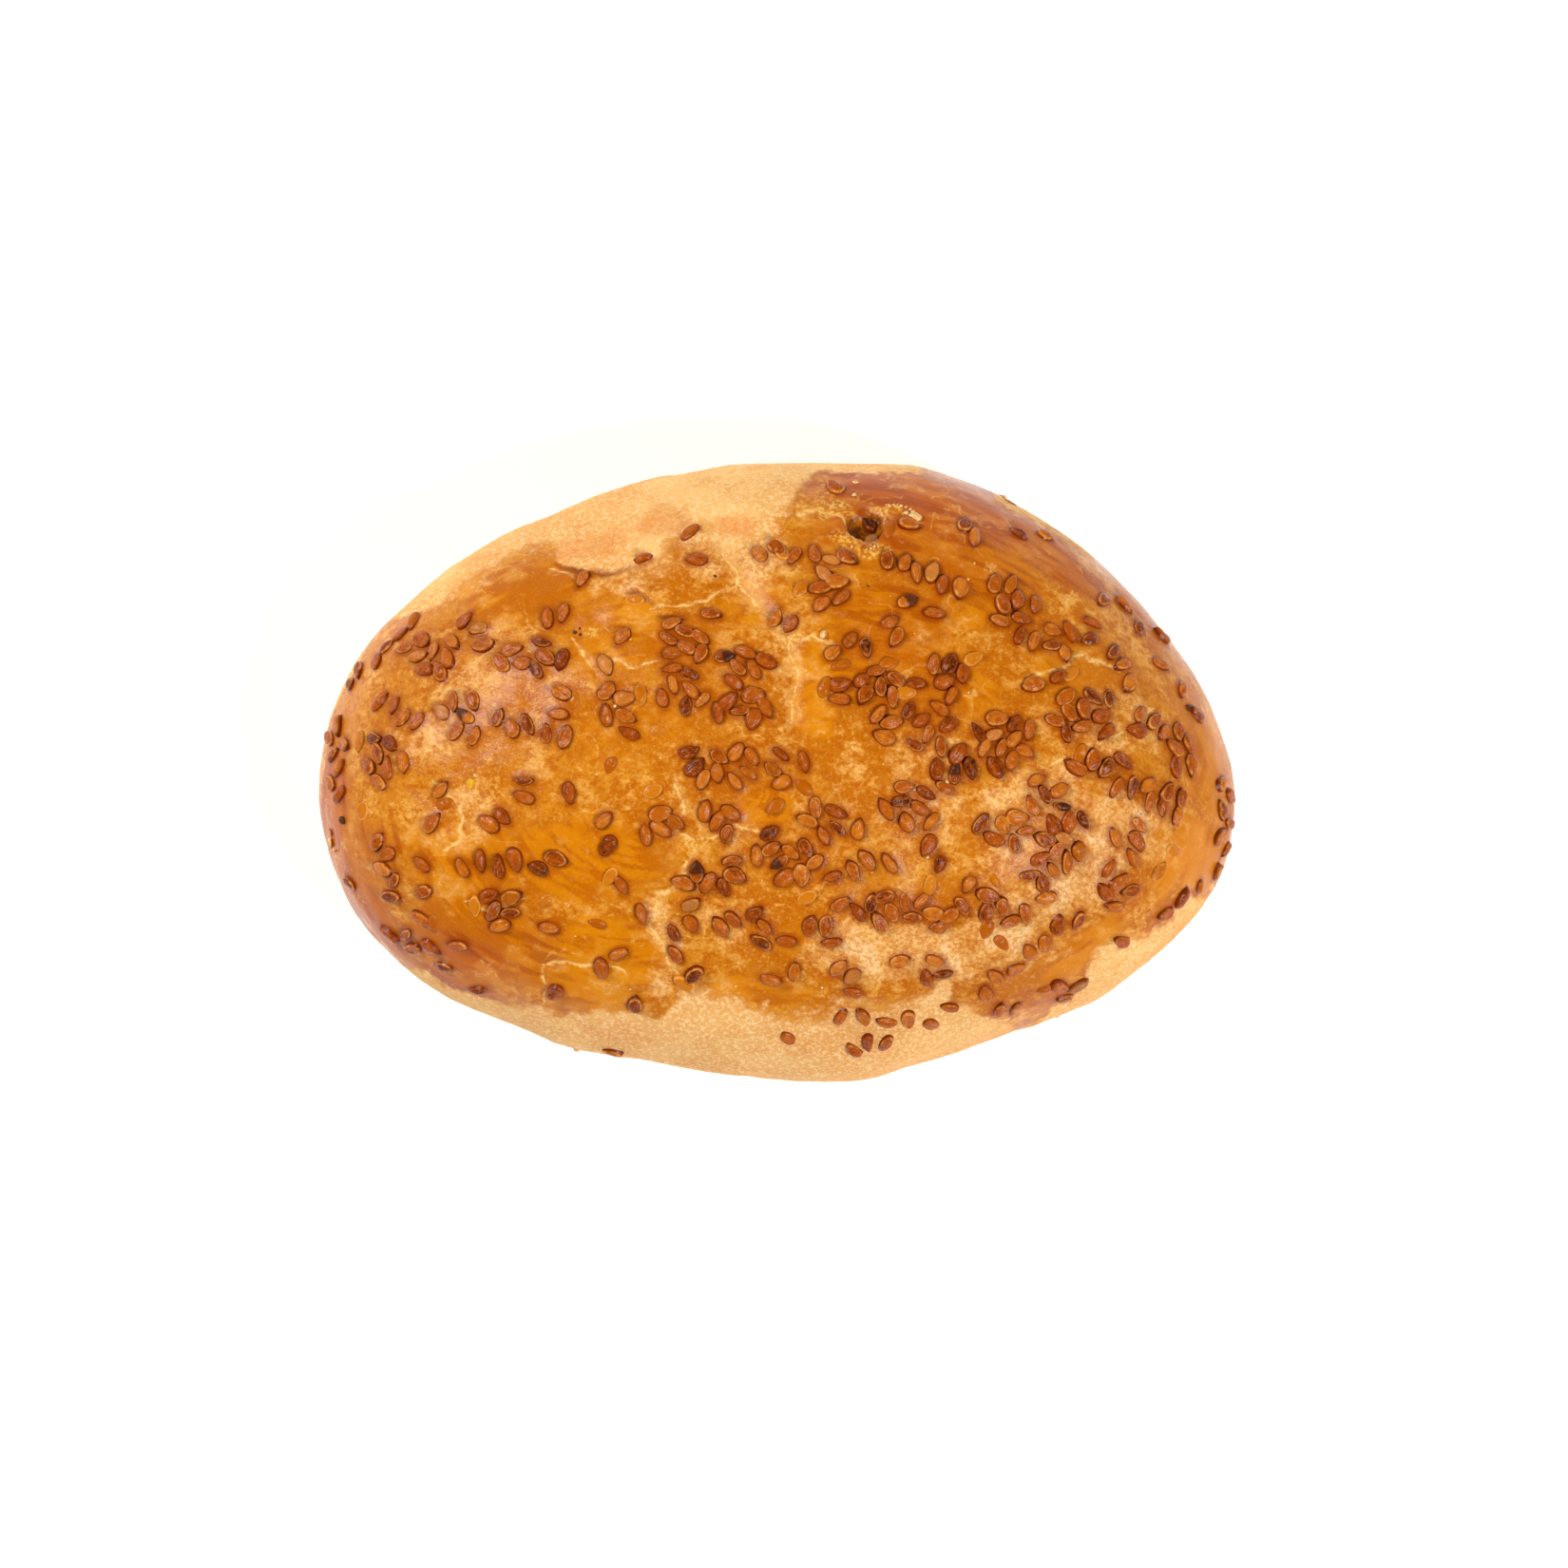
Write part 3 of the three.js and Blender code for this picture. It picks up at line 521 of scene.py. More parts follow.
# What the material reads at each point of the crust, three numbers under each name
CRUST_LOOKS = {
    "zone": ("wash", "bake", "worn"),
    "mark": ("tear", "honey", "under"),
    "hollow": ("cavity", "shade", "rim"),
    "strewn": ("near", "crowd", "peach"),
    "soft": ("broad", "middle", "crazed"),
    "line": ("brush", "seam", "crumbly"),
}

HASH_STEPS = (374761393, 668265263, 1440662683, 2246822519)
HASH_TWIST = 1274126177
HASH_MASK = 0xFFFFFFFF


def hashed(*cell):
    """A number from 0 to 1 for a cell of whole numbers, the same on every run."""
    mixed = sum(number * step for number, step in zip(cell, HASH_STEPS)) & HASH_MASK
    mixed = ((mixed ^ (mixed >> 13)) * HASH_TWIST) & HASH_MASK
    return ((mixed ^ (mixed >> 16)) & 0xFFFF) / 0xFFFF


def cloud(x, y, size_mm, salt, octaves=3, z=None):
    """Smooth noise, about -0.5 to 0.5, in plan or through the solid."""
    total, weight = 0.0, 0.0
    z = np.zeros_like(x) if z is None else z
    for octave in range(octaves):
        places = [axis / size_mm * 2**octave for axis in (x, y, z)]
        cells = [np.floor(place).astype(np.int64) for place in places]
        eased = [(p - c) ** 2 * (3 - 2 * (p - c)) for p, c in zip(places, cells)]
        for corner in itertools.product((0, 1), repeat=3):
            share = math.prod(e if far else 1 - e for e, far in zip(eased, corner))
            ends = [cell + far for cell, far in zip(cells, corner)]
            total = total + 0.5**octave * share * hashed(*ends, salt + octave)
        weight += 0.5**octave
    return total / weight - 0.5


def inside_distance(x, y, polygon):
    """Distance to a closed line in plan, positive inside it."""
    nearest = route_distance(x, y, polygon + polygon[:1])
    inside = np.zeros(np.shape(x), bool)
    for (ax, ay), (bx, by) in zip(polygon, polygon[1:] + polygon[:1]):
        if ay == by:
            continue
        crosses = (ay > y) != (by > y)
        inside ^= crosses & (x < ax + (y - ay) * (bx - ax) / (by - ay))
    return np.where(inside, nearest, -nearest)


def route_side(x, y, route):
    """1 on the left of a line of straight legs and -1 on its right."""
    nearest, side = np.full(np.shape(x), np.inf), np.ones(np.shape(x))
    for a, b in zip(route, route[1:]):
        off = route_distance(x, y, [a, b])
        turn = (b[0] - a[0]) * (y - a[1]) - (b[1] - a[1]) * (x - a[0])
        side = np.where(off < nearest, np.where(turn > 0, 1.0, -1.0), side)
        nearest = np.minimum(nearest, off)
    return side


def patches(x, y, rows):
    """How much a point belongs to soft oval patches, the strongest one counting."""
    most = np.zeros(np.shape(x))
    for cx, cy, half_length, half_width, turn, strength in rows:
        c, s = math.cos(math.radians(turn)), math.sin(math.radians(turn))
        along = ((x - cx) * c + (y - cy) * s) / half_length
        across = (-(x - cx) * s + (y - cy) * c) / half_width
        most = np.maximum(most, strength * (1 - smoothstep(np.hypot(along, across), 0.55, 1.35)))
    return most


def swayed(x, y, sway, size_mm, salt, octaves=3):
    """A place in plan, moved about by noise."""
    aside = [sway * cloud(x, y, size_mm, salt + axis, octaves) for axis in (0, 1)]
    return x + aside[0], y + aside[1]


def wash_share(x, y, z):
    """How much egg wash a point has. Its edge wanders, but less so at the upper right."""
    wander = 1 - 0.8 * smoothstep(x, 3, 8) * smoothstep(y, 8, 20)
    ragged = 4.2 * cloud(x, y, 5.5, 3, 4) + 1.6 * cloud(x, y, 1.7, 5, 3)
    edge = inside_distance(x, y, WASH_EDGE) + wander * ragged
    fade = 1.3 + 4 * patches(x, y, FADED)
    lowest = WIDEST_AT + 2.5 + 9 * cloud(x, y, 7, 9, 3, z)
    return smoothstep(edge / fade, -1, 1) * smoothstep(z, lowest - 1.5, lowest + 1.5)


def tear_marks(x, y):
    """How torn the glaze is, and the distance to the nearest tear's line, negative on its right."""
    tear, seam = np.zeros_like(x), np.full_like(x, SEAM_REACH)
    spread = 1.8 * (1 + 1.2 * cloud(x, y, 4, 43))
    x, y = swayed(x, y, 2.6, 3.2, 41, 4)
    for half_width, route in TEARS:
        off = route_distance(x, y, route)
        tear = np.maximum(tear, 1 - np.clip(off / (half_width * spread), 0, 1))
        seam = np.where(off < np.abs(seam), off * route_side(x, y, route), seam)
    return tear, np.clip(seam, -SEAM_REACH, SEAM_REACH)


def flap_height(x, y):
    """Lifted skin above its torn edge, and the painted shadow line under the edge."""
    lift, shade = 0.0, 0.0
    k = np.linspace(0, 1, 40)[:, None]
    for (start, middle, end), reach, rise in FLAPS:
        start, middle, end = (np.array(p, float) for p in (start, middle, end))
        curve = (1 - k) ** 2 * start + 2 * k * (1 - k) * middle + k**2 * end
        ragged = y - np.interp(x, curve[:, 0], curve[:, 1]) - 0.9 * cloud(x, y, 2.4, 71)
        taper = np.interp(x, curve[:, 0], np.sin(math.pi * k[:, 0]) ** 0.6, left=0, right=0)
        above = np.clip(1 - ragged / (reach * np.maximum(taper, 0.05)), 0, 1)
        lift = lift + rise * taper * above * smoothstep(ragged, -0.2, 0.1)
        shade = np.maximum(shade, taper * np.exp(-(((ragged + 0.3) / 0.3) ** 2)))
    return lift, shade


def pit_depth(points):
    """How far the broken blister sinks, the same as a share, and how far out of it a point is."""
    x, y, across, along, depth = PIT
    t, v = on_dome(np.array(x), np.array(y))
    centre, _, around, up = crust_frames(t, v)
    a = (points - centre) @ around / (across / 2)
    b = (points - centre) @ up / (along / 2)
    ragged = np.hypot(a, b) + 0.5 * cloud(points[:, 0], points[:, 1], 1.8, 31)
    share = np.sqrt(np.clip(1 - ragged**2, 0, 1))
    return depth * share, share, ragged


def pit_lip(x, y, ragged):
    """Where the broken lip of the pit shows pale crumb: below it and along its upper right."""
    bearing = np.arctan2(y - PIT[1], x - PIT[0])
    below = 0.55 * smoothstep(-np.sin(bearing + 0.3), 0.3, 0.9)
    upper_right = smoothstep(np.cos(bearing - 0.6), 0.5, 0.95)
    return np.exp(-(((ragged - 1.12) / 0.2) ** 2)) * np.maximum(below, upper_right)


def around_seeds(points, seeds):
    """How close each crust point is to a seed's edge, and how crowded it is with seeds, 0 to 1."""
    near, crowd = np.zeros(len(points)), np.zeros(len(points))
    middle, normal, around, up = crust_frames(seeds[:, 0], seeds[:, 1])
    for k, heading in enumerate(seeds[:, 3]):
        reach = np.flatnonzero(np.abs(points - middle[k]).max(axis=1) < 6)
        gap = points[reach] - middle[k]
        along = gap @ (around[k] * math.cos(heading) + up[k] * math.sin(heading))
        across = gap @ (up[k] * math.cos(heading) - around[k] * math.sin(heading))
        off = np.hypot(along / (SEED_LENGTH / 2), across / (SEED_WIDTH / 2))
        near[reach] = np.maximum(near[reach], 1 - smoothstep(off, 0.95, 1.45))
        crowd[reach] += 0.3 * np.exp(-(along**2 + across**2) / 2.6**2)
    return near, np.clip(crowd, 0, 1)


# ---- the crust

DOME_RINGS = 150
FLANK_RINGS = 26


def crust_grid():
    """Plan angle, level and faces of the crust down to its base, and where the lowest row starts."""
    angles, levels, faces = [0.0], [0.0], []
    above, above_count = 0, 1
    for k, level in enumerate(even_levels(DOME_RINGS)[1:], start=1):
        here, count = len(angles), 6 * k
        angles += [2 * math.pi * i / count for i in range(count)]
        levels += [level] * count
        for side in range(6):
            outer = [here + (side * k + i) % count for i in range(k + 1)]
            inner = [above + (side * (k - 1) + i) % above_count for i in range(k)]
            faces += [(inner[i], outer[i], outer[i + 1]) for i in range(k)]
            faces += [(inner[i], outer[i + 1], inner[i + 1]) for i in range(k - 1)]
        above, above_count = here, count
    for row in range(1, FLANK_RINGS + 1):
        here = len(angles)
        angles += [2 * math.pi * i / count for i in range(count)]
        levels += [1 + row / FLANK_RINGS] * count
        for i in range(count):
            j = (i + 1) % count
            faces += [(above + i, here + i, here + j), (above + i, here + j, above + j)]
        above = here
    return np.array(angles), np.array(levels), faces, above


def crust_looks(t, points, seeds):
    """What the material reads at each point, by name, and how high each point rises off the smooth form."""
    x, y, z = points.T
    on_top = smoothstep(z, WIDEST_AT - 2, WIDEST_AT + 5)
    looks = {name: patches(*swayed(x, y, *sway), rows) for name, (rows, *sway) in SWAYED_PATCHES.items()}
    looks["crumbly"] *= on_top
    tear, seam = tear_marks(x, y)
    looks["tear"] = tear * on_top
    looks["seam"] = 0.5 + seam / (2 * SEAM_REACH)
    lift, shade = flap_height(x, y)
    looks["shade"] = shade * on_top
    depth, looks["cavity"], ragged = pit_depth(points)
    looks["rim"] = pit_lip(x, y, ragged) * on_top
    # The lifted skin at the upper left has little wash
    looks["wash"] = wash_share(x, y, z) * (1 - 0.75 * smoothstep(lift, 0.1, 0.3) * smoothstep(y, 24, 25))
    looks["near"], looks["crowd"] = around_seeds(points, seeds)
    looks["under"] = 1 - smoothstep(z, 0, 5)
    # Unevenness too broad for the material's own grain: pale to dark, blotchy, and where hair cracks run
    for name, size_mm, salt in (("broad", 11, 91), ("middle", 3.2, 92), ("crazed", 7, 93)):
        looks[name] = 0.5 + 1.3 * cloud(x, y, size_mm, salt, 4, z)
    # Brush marks run round the roll near its outline
    inward = np.hypot(x, y) - outline_radius(t)
    looks["brush"] = 0.5 + cloud(t * 45 / 6, inward / 0.7 + 60, 1.0, 81, 4)

    height = lift * on_top - 0.16 * looks["shade"] - depth - 0.14 * smoothstep(looks["tear"], 0.3, 1)
    height += 0.25 * looks["rim"] * cloud(x, y, 0.9, 51, 2) + 0.5 * looks["crumbly"] * cloud(x, y, 1.1, 52, 3)
    uneven = 0.34 * cloud(x, y, 6, 61, 2, z) + 0.2 * cloud(x, y, 2.2, 63, 3, z)
    uneven -= 0.16 * np.abs(cloud(x, y, 4, 64, 3, z))
    return looks, height + 0.1 * looks["near"] + uneven * smoothstep(z, 0, 4)


def crust_piece(material, seeds):
    t, v, faces, rim = crust_grid()
    points, normal, _, _ = crust_frames(t, v)
    points[0], normal[0] = crust_points(np.array(0.0), np.array(0.0)), (0, 0, 1)
    looks, height = crust_looks(t, points, seeds)

    # One point in the middle of the base closes the crust
    hub, count = len(points), 6 * DOME_RINGS
    points = np.concatenate([points + normal * height[:, None], [[0, 0, 0]]])
    faces += [(rim + i, hub, rim + (i + 1) % count) for i in range(count)]
    at_hub = {"under": 1, "broad": 0.5, "middle": 0.5, "crazed": 0.5}
    looks = {name: np.append(values, at_hub.get(name, 0)) for name, values in looks.items()}
    triples = {name: np.stack([looks[part] for part in parts], axis=1) for name, parts in CRUST_LOOKS.items()}
    return make_mesh("crust", points, faces, material, triples)


def dough_colour(s, c):
    """Bare dough: pale, with a mealy grain of lighter specks."""
    north = s.node("SeparateXYZ", [s.place]).outputs[1]
    mealy = s.band(s.add(c.fine, s.swing(c.grit, 0.4)), 0.46, 0.63)
    return s.layers(
        s.mix(s.band(c.broad, 0.35, 0.65), (236, 170, 90), (246, 188, 110)),
        (s.band(c.middle, 0.52, 0.4, 0, 0.5), (232, 156, 74)),
        # Painted shade: the bare dough darkens towards -Y, as if less light falls on that flank
        (s.band(north, 0, -40, 0, 0.35), (214, 150, 86)),
        (s.times(c.peach, s.band(c.mottle, 0.3, 0.55, 0.95, 0.5)), (228, 140, 66)),
        (s.times(mealy, s.band(c.peach, 0.2, 0.9, 0.75, 0.3)), (254, 214, 152)),
    )


def glaze_colour(s, c):
    """Egg wash: amber that deepens where it pooled and browns where it baked."""
    pool = s.layers(
        s.mix(s.band(s.add(c.brush, s.swing(c.broad, 0.8)), 0.36, 0.62), (190, 100, 0), (213, 126, 2)),
        (s.band(c.middle, 0.56, 0.72, 0, 0.5), (224, 144, 24)),
    )
    pale_blotch = s.band(s.add(c.mottle, s.swing(c.middle, 0.5)), 0.48, 0.72, 0, 0.85)
    browned = s.add(c.bake, s.swing(c.mottle, 0.3), s.swing(c.brush, 0.5))
    stroke = s.times(s.band(c.brush, 0.5, 0.66, 0, 0.5), s.band(c.bake, 0.1, 0.5))
    # Paler wrinkles where it browned: partly streaks in the crust, partly painted sheen
    wrinkle_and_sheen = s.times(s.band(c.brush, 0.46, 0.36, 0, 0.6), s.band(c.bake, 0.35, 0.6))
    wrinkle_and_sheen = s.times(wrinkle_and_sheen, s.band(c.middle, 0.4, 0.6))
    return s.layers(
        s.mix(s.band(c.broad, 0.38, 0.62), (208, 128, 24), (194, 108, 6)),
        (c.pooled, pool),
        (s.times(c.plain, s.band(c.mottle, 0.5, 0.38, 0, 0.7)), (184, 92, 2)),
        (s.times(c.plain, pale_blotch), (232, 162, 66)),
        (s.times(c.plain, s.band(c.fine, 0.55, 0.65, 0, 0.4)), (238, 176, 84)),
        (s.times(c.plain, s.band(c.fine, 0.42, 0.36, 0, 0.4)), (170, 80, 0)),
        (s.band(browned, 0.1, 1, 0, 0.9), (184, 82, 2)),
        (stroke, (150, 56, 0)),
        (wrinkle_and_sheen, (214, 124, 34)),
        # Darker amid clumps of seeds: partly glaze pooled there, partly painted shade
        (s.times(c.crowd, s.band(c.worn, 0, 0.8, 0.5, 0.05)), (168, 78, 4)),
    )


def coated_colour(s, c):
    """The glaze with its scuffs and painted sheen, pores, tears and crumbs, and a line of painted shade round
    each seed.
    """
    # Where it is scuffed, the wash is thin, dull and mealy, and the same pale colour is painted sheen where
    # the lamps glance off the dome
    thin_and_sheen = s.mix(s.band(c.fine, 0.4, 0.6), (214, 140, 62), (242, 186, 110))
    chips = s.times(s.band(c.middle, 0.58, 0.64), s.band(c.worn, 0.25, 0.8))
    chips = s.times(chips, s.band(c.fine, 0.4, 0.6, 0.2, 0.8))
    pores = s.times(s.band(c.grit, 0.42, 0.3, 0, 0.35), s.band(c.plain, 0, 1, 0.3, 1))
    bubbles = s.times(s.band(c.grit, 0.58, 0.7, 0, 0.4), s.band(c.scuff, 0.2, 0.8, 0.2, 1))
    # Torn bands are mottled, with a crisp line along their middle, and there are a few hair cracks
    torn = s.band(s.add(c.tear, s.swing(c.mottle, 1.4)), 0.35, 0.8, 0, 0.42)
    hair = s.band(s.math("ABSOLUTE", s.swing(c.crazed, 1)), 0.014, 0.003, 0, 0.5)
    hair = s.times(hair, s.band(c.middle, 0.42, 0.56), s.band(c.mottle, 0.4, 0.5))
    off_seam = s.math("ABSOLUTE", s.add(s.swing(c.seam, 2 * SEAM_REACH), s.swing(c.fine, 0.8)))
    core = s.times(s.band(off_seam, 0.22, 0.06, 0, 0.7), s.band(c.tear, 0.2, 0.5))
    core = s.times(core, s.band(c.mottle, 0.4, 0.54, 0.1, 1))
    flaky = s.times(c.crumbly, s.band(c.fine, 0.36, 0.6, 0.3, 1))
    return s.layers(
        glaze_colour(s, c),
        # Pale scuffed wash, partly painted sheen
        (s.band(c.scuff, 0.1, 0.95, 0, 0.9), thin_and_sheen),
        (chips, (244, 200, 142)),
        (pores, (176, 96, 20)),
        (bubbles, (250, 204, 132)),
        (s.math("MAXIMUM", torn, hair), s.mix(s.band(c.fine, 0.48, 0.6), (228, 164, 76), (244, 192, 108))),
        (core, (250, 206, 126)),
        (flaky, s.mix(s.band(c.fine, 0.46, 0.6), (214, 132, 30), (244, 192, 92))),
        # Painted shade: the crust darkens close round each seed's edge
        (s.times(c.near, 0.6), (140, 46, 0)),
    )


def crust_material():
    s = Shader("egg_washed_crust")
    c = SimpleNamespace()
    for name, parts in CRUST_LOOKS.items():
        vars(c).update(zip(parts, s.channels(name)))
    c.mottle = s.noise(1.6, 3, 0.72, s.turned(s.scaled(s.place, 0.85, 1.15, 1)))
    c.fine = s.noise(0.55, 3, 0.65)
    c.grit = s.noise(0.24, 1, 0.6)
    c.pooled = s.band(s.add(c.honey, s.swing(c.middle, 0.9)), 0.05, 0.9)
    c.plain = s.times(s.band(c.pooled, 0, 1, 1, 0.18), s.band(c.bake, 0.1, 0.8, 1, 0.15))
    c.scuff = s.add(c.worn, s.swing(c.mottle, 1.5), s.swing(c.middle, 1))

    washed = s.band(s.add(c.wash, s.swing(c.mottle, 1.2), s.swing(c.middle, 0.8)), 0.2, 0.7)
    # The pit's hollow is painted dark: partly browned crust, partly painted shade inside it
    pit = s.mix(s.band(c.mottle, 0.4, 0.6), (118, 54, 0), (164, 92, 6))
    sole = s.mix(s.band(s.add(c.mottle, s.swing(c.fine, 0.9)), 0.25, 0.8), (212, 140, 68), (160, 86, 32))
    colour = s.layers(
        s.mix(washed, dough_colour(s, c), coated_colour(s, c)),
        (s.times(c.rim, s.band(c.fine, 0.42, 0.56, 0.1, 0.8)), (240, 188, 112)),
        (s.band(c.cavity, 0, 0.55), pit),
        # Painted shadow under the lifted skin's torn edge
        (s.times(c.shade, 0.85), (132, 58, 6)),
        (s.band(s.add(c.under, s.swing(c.broad, 0.7)), 0.35, 0.9), sole),
    )

    glossy = s.times(c.wash, s.math("SUBTRACT", 1, s.times(c.tear, 0.5)))
    roughness = s.add(s.band(glossy, 0, 1, 0.7, 0.25), s.band(c.scuff, 0.3, 0.85, 0, 0.14))
    roughness = s.math("ADD", roughness, s.swing(c.fine, 0.12), clamp=True)

    # The grain is lower under the wash, and lowest where it pooled or browned
    coarse = s.times(s.band(glossy, 0, 1, 1, 0.5), s.band(s.math("MAXIMUM", c.pooled, c.bake), 0, 1, 1, 0.6))
    grain_mm = s.add(s.times(c.mottle, 0.18), s.times(c.fine, 0.1), s.times(c.grit, 0.03))
    return s.finish(colour, roughness, s.bump(s.times(coarse, grain_mm)), Specular_IOR_Level=0.14)


# ---- the seeds

# A domed seed stands a little prouder than its plain stand-in in the solid
SEED_CROWN = 0.76
SEED_SET_BACK = 0.06 * SEED_LENGTH
SEED_FLARE = 1 + 0.3 * SEED_ROOT / SEED_RISE
# The forms that the seeds take in turn, from a smooth dome, 0, to a flat top inside a raised edge, 1
SEED_DISHES = (0.1, 0.9, 0.35, 0.0, 0.7)
SEED_CORNERS = 18
SEED_RINGS = ((0.3, 0.55, 0.7, 0.8, 0.9, 1.0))


def seed_form(dish):
    """One seed lying along +X, point forward: points, faces, and how far out each point is."""
    points, outs = [(-SEED_SET_BACK, 0, SEED_CROWN * (1 - 0.16 * dish))], [0.0]
    rings = []
    for share in SEED_RINGS:
        dome = (1 - share**2.6) ** 0.62
        flat = (1 - share**6) ** 0.6 * (0.84 + 0.16 * math.exp(-(((share - 0.78) / 0.13) ** 2)))
        rings.append((share, share, SEED_CROWN * (dome + (flat - dome) * dish), SEED_SET_BACK * (1 - share)))
    # The lowest ring is a skirt, sunk into the crust
    rings.append((SEED_FLARE, 1.15, -SEED_ROOT, 0))
    for reach, out, height, set_back in rings:
        for i in range(SEED_CORNERS):
            a = 2 * math.pi * i / SEED_CORNERS
            taper = abs(math.sin(a / 2)) ** 0.33
            x = reach * math.cos(a) * SEED_LENGTH / 2 - set_back
            points.append((x, reach * math.sin(a) * taper * SEED_WIDTH / 1.85, height))
            outs.append(out)
    faces = [(0, 1 + i, 1 + (i + 1) % SEED_CORNERS) for i in range(SEED_CORNERS)]
    for ring in range(len(SEED_RINGS)):
        for i in range(SEED_CORNERS):
            a, b = (1 + ring * SEED_CORNERS + (i + step) % SEED_CORNERS for step in (0, 1))
            faces += [(a, a + SEED_CORNERS, b + SEED_CORNERS), (a, b + SEED_CORNERS, b)]
    return np.array(points), faces, np.array(outs)


def dented(base, outs, k):
    """A seed form bent, widened and dented in its own way for each k."""
    x, y, z = base.T
    bend = 0.13 * math.sin(2.4 * k) * (1 - (x / 1.5) ** 2)
    width = 0.94 + 0.14 * math.sin(5.1 * k) + 0.25 * cloud(x + 5 * k, 0 * y, 1.3, 56, 1)
    dent = 0.4 * cloud(x + 11 * k, y + 7 * k, 1.1, 55, 2) * (outs < 0.99)
    return np.stack([x, (y + bend) * width, z + dent], axis=1)


def laid(seeds, tones):
    """The seed forms in turn on the crust, as one mesh's points, faces and looks."""
    forms = [seed_form(dish) for dish in SEED_DISHES]
    points, faces, count = [], [], 0
    looks = {"seed_look": [], "seed_kind": []}
    kind_draw = draws(6007)
    middle, normal, around, up = crust_frames(seeds[:, 0], seeds[:, 1])
    for k, (_, _, sunk, heading, size, pitch, roll) in enumerate(seeds):
        base, base_faces, outs = forms[k % len(forms)]
        along = around[k] * math.cos(heading) + up[k] * math.sin(heading)
        lid = unit(normal[k] + along * pitch + np.cross(normal[k], along) * roll)
        along = unit(along - lid * (along @ lid))
        turn = np.stack([along, np.cross(lid, along), lid]) * size
        points.append(middle[k] - normal[k] * sunk + dented(base, outs, k) @ turn)
        faces += [tuple(i + count for i in face) for face in base_faces]
        count += len(base)
        tone = np.full(len(base), tones[k])
        ahead, side = 0.5 + base[:, 0] / SEED_LENGTH, 0.5 + base[:, 1] / SEED_WIDTH
        looks["seed_look"].append(np.stack([tone, outs / outs.max(), ahead], axis=1))
        warmth, burnt = (np.full(len(base), next(kind_draw)) for _ in range(2))
        looks["seed_kind"].append(np.stack([side, warmth, burnt], axis=1))
    looks = {name: np.clip(np.concatenate(values), 0, 1) for name, values in looks.items()}
    return np.concatenate(points), faces, looks


def seed_material():
    s = Shader("toasted_sesame")
    tone, out, ahead = s.channels("seed_look")
    side, warmth, burnt = s.channels("seed_kind")
    fine = s.noise(0.35, 3, 0.6)
    broad = s.noise(0.9, 2, 0.6)
    # Veins run from the point to the round end
    lengthways = s.node("CombineXYZ", [s.times(ahead, 1.2), s.times(side, 5), s.times(warmth, 37)])
    veins = s.noise(1, 2, 0.6, lengthways.outputs[0])
    shade = s.add(tone, s.swing(broad, 0.9), s.swing(veins, 0.9))
    rim = s.times(s.band(out, 0.6, 0.7), s.band(out, 0.82, 0.76))
    rim = s.times(rim, s.band(broad, 0.4, 0.6, 0.2, 0.8), s.band(burnt, 0.3, 0.7, 0.1, 1))
    tip = s.times(s.band(ahead, 0.8, 0.97), s.band(burnt, 0.2, 0.7, 0.3, 0.8))
    spot = s.times(s.band(burnt, 0.982, 0.986, 0, 0.85), s.band(s.add(ahead, s.times(broad, 0.3)), 0.5, 0.62))
    colour = s.layers(
        s.mix(s.band(shade, -0.05, 0.3), (64, 24, 4), (128, 50, 4)),
        (s.band(shade, 0.25, 0.65), (168, 76, 8)),
        (s.band(shade, 0.65, 1.2), (202, 116, 30)),
        (s.band(warmth, 0.8, 1, 0, 0.5), (206, 112, 8)),
        (s.band(warmth, 0.04, 0.02, 0, 0.4), (212, 146, 70)),
        (s.band(fine, 0.54, 0.7, 0, 0.4), (206, 124, 42)),
        # Painted shade: the seed darkens down its sloping sides
        (s.band(out, 0.5, 0.85, 0, 0.55), (140, 52, 0)),
        # The raised rim is paler: partly the seed's own colour, partly painted highlight
        (rim, (226, 152, 66)),
        (tip, (84, 32, 4)),
        (spot, (56, 26, 14)),
        # Painted shade at the seed's sunk foot
        (s.band(out, 0.76, 0.86, 0, 0.85), (110, 34, 0)),
    )
    relief_mm = s.add(s.times(fine, 0.05), s.times(broad, 0.08), s.times(veins, 0.12))
    return s.finish(colour, s.band(fine, 0.3, 0.7, 0.18, 0.32), s.bump(relief_mm), Specular_IOR_Level=0.2)


def glazed_material():
    """Seeds under the egg wash: amber like the crust, with a pale edge of painted highlight and a darker
    outer edge of painted shade.
    """
    s = Shader("glazed_sesame")
    tone, out, ahead = s.channels("seed_look")
    broad = s.noise(0.9, 3, 0.6)
    shade = s.add(tone, s.swing(broad, 1.2))
    rim = s.times(s.band(out, 0.62, 0.72), s.band(out, 0.84, 0.76), s.band(shade, 0.2, 0.9, 0.1, 0.7))
    colour = s.layers(
        s.mix(s.band(shade, 0.1, 0.9), (176, 86, 2), (202, 116, 16)),
        # Painted highlight where the glaze rises over the seed's edge
        (rim, (234, 170, 76)),
        # Painted shade on the seed's outer edge
        (s.band(out, 0.8, 0.9, 0, 0.6), (156, 70, 4)),
        (s.band(ahead, 0.86, 1, 0, 0.5), (130, 58, 16)),
    )
    return s.finish(colour, 0.26, s.bump(s.times(broad, 0.16)), Specular_IOR_Level=0.16)


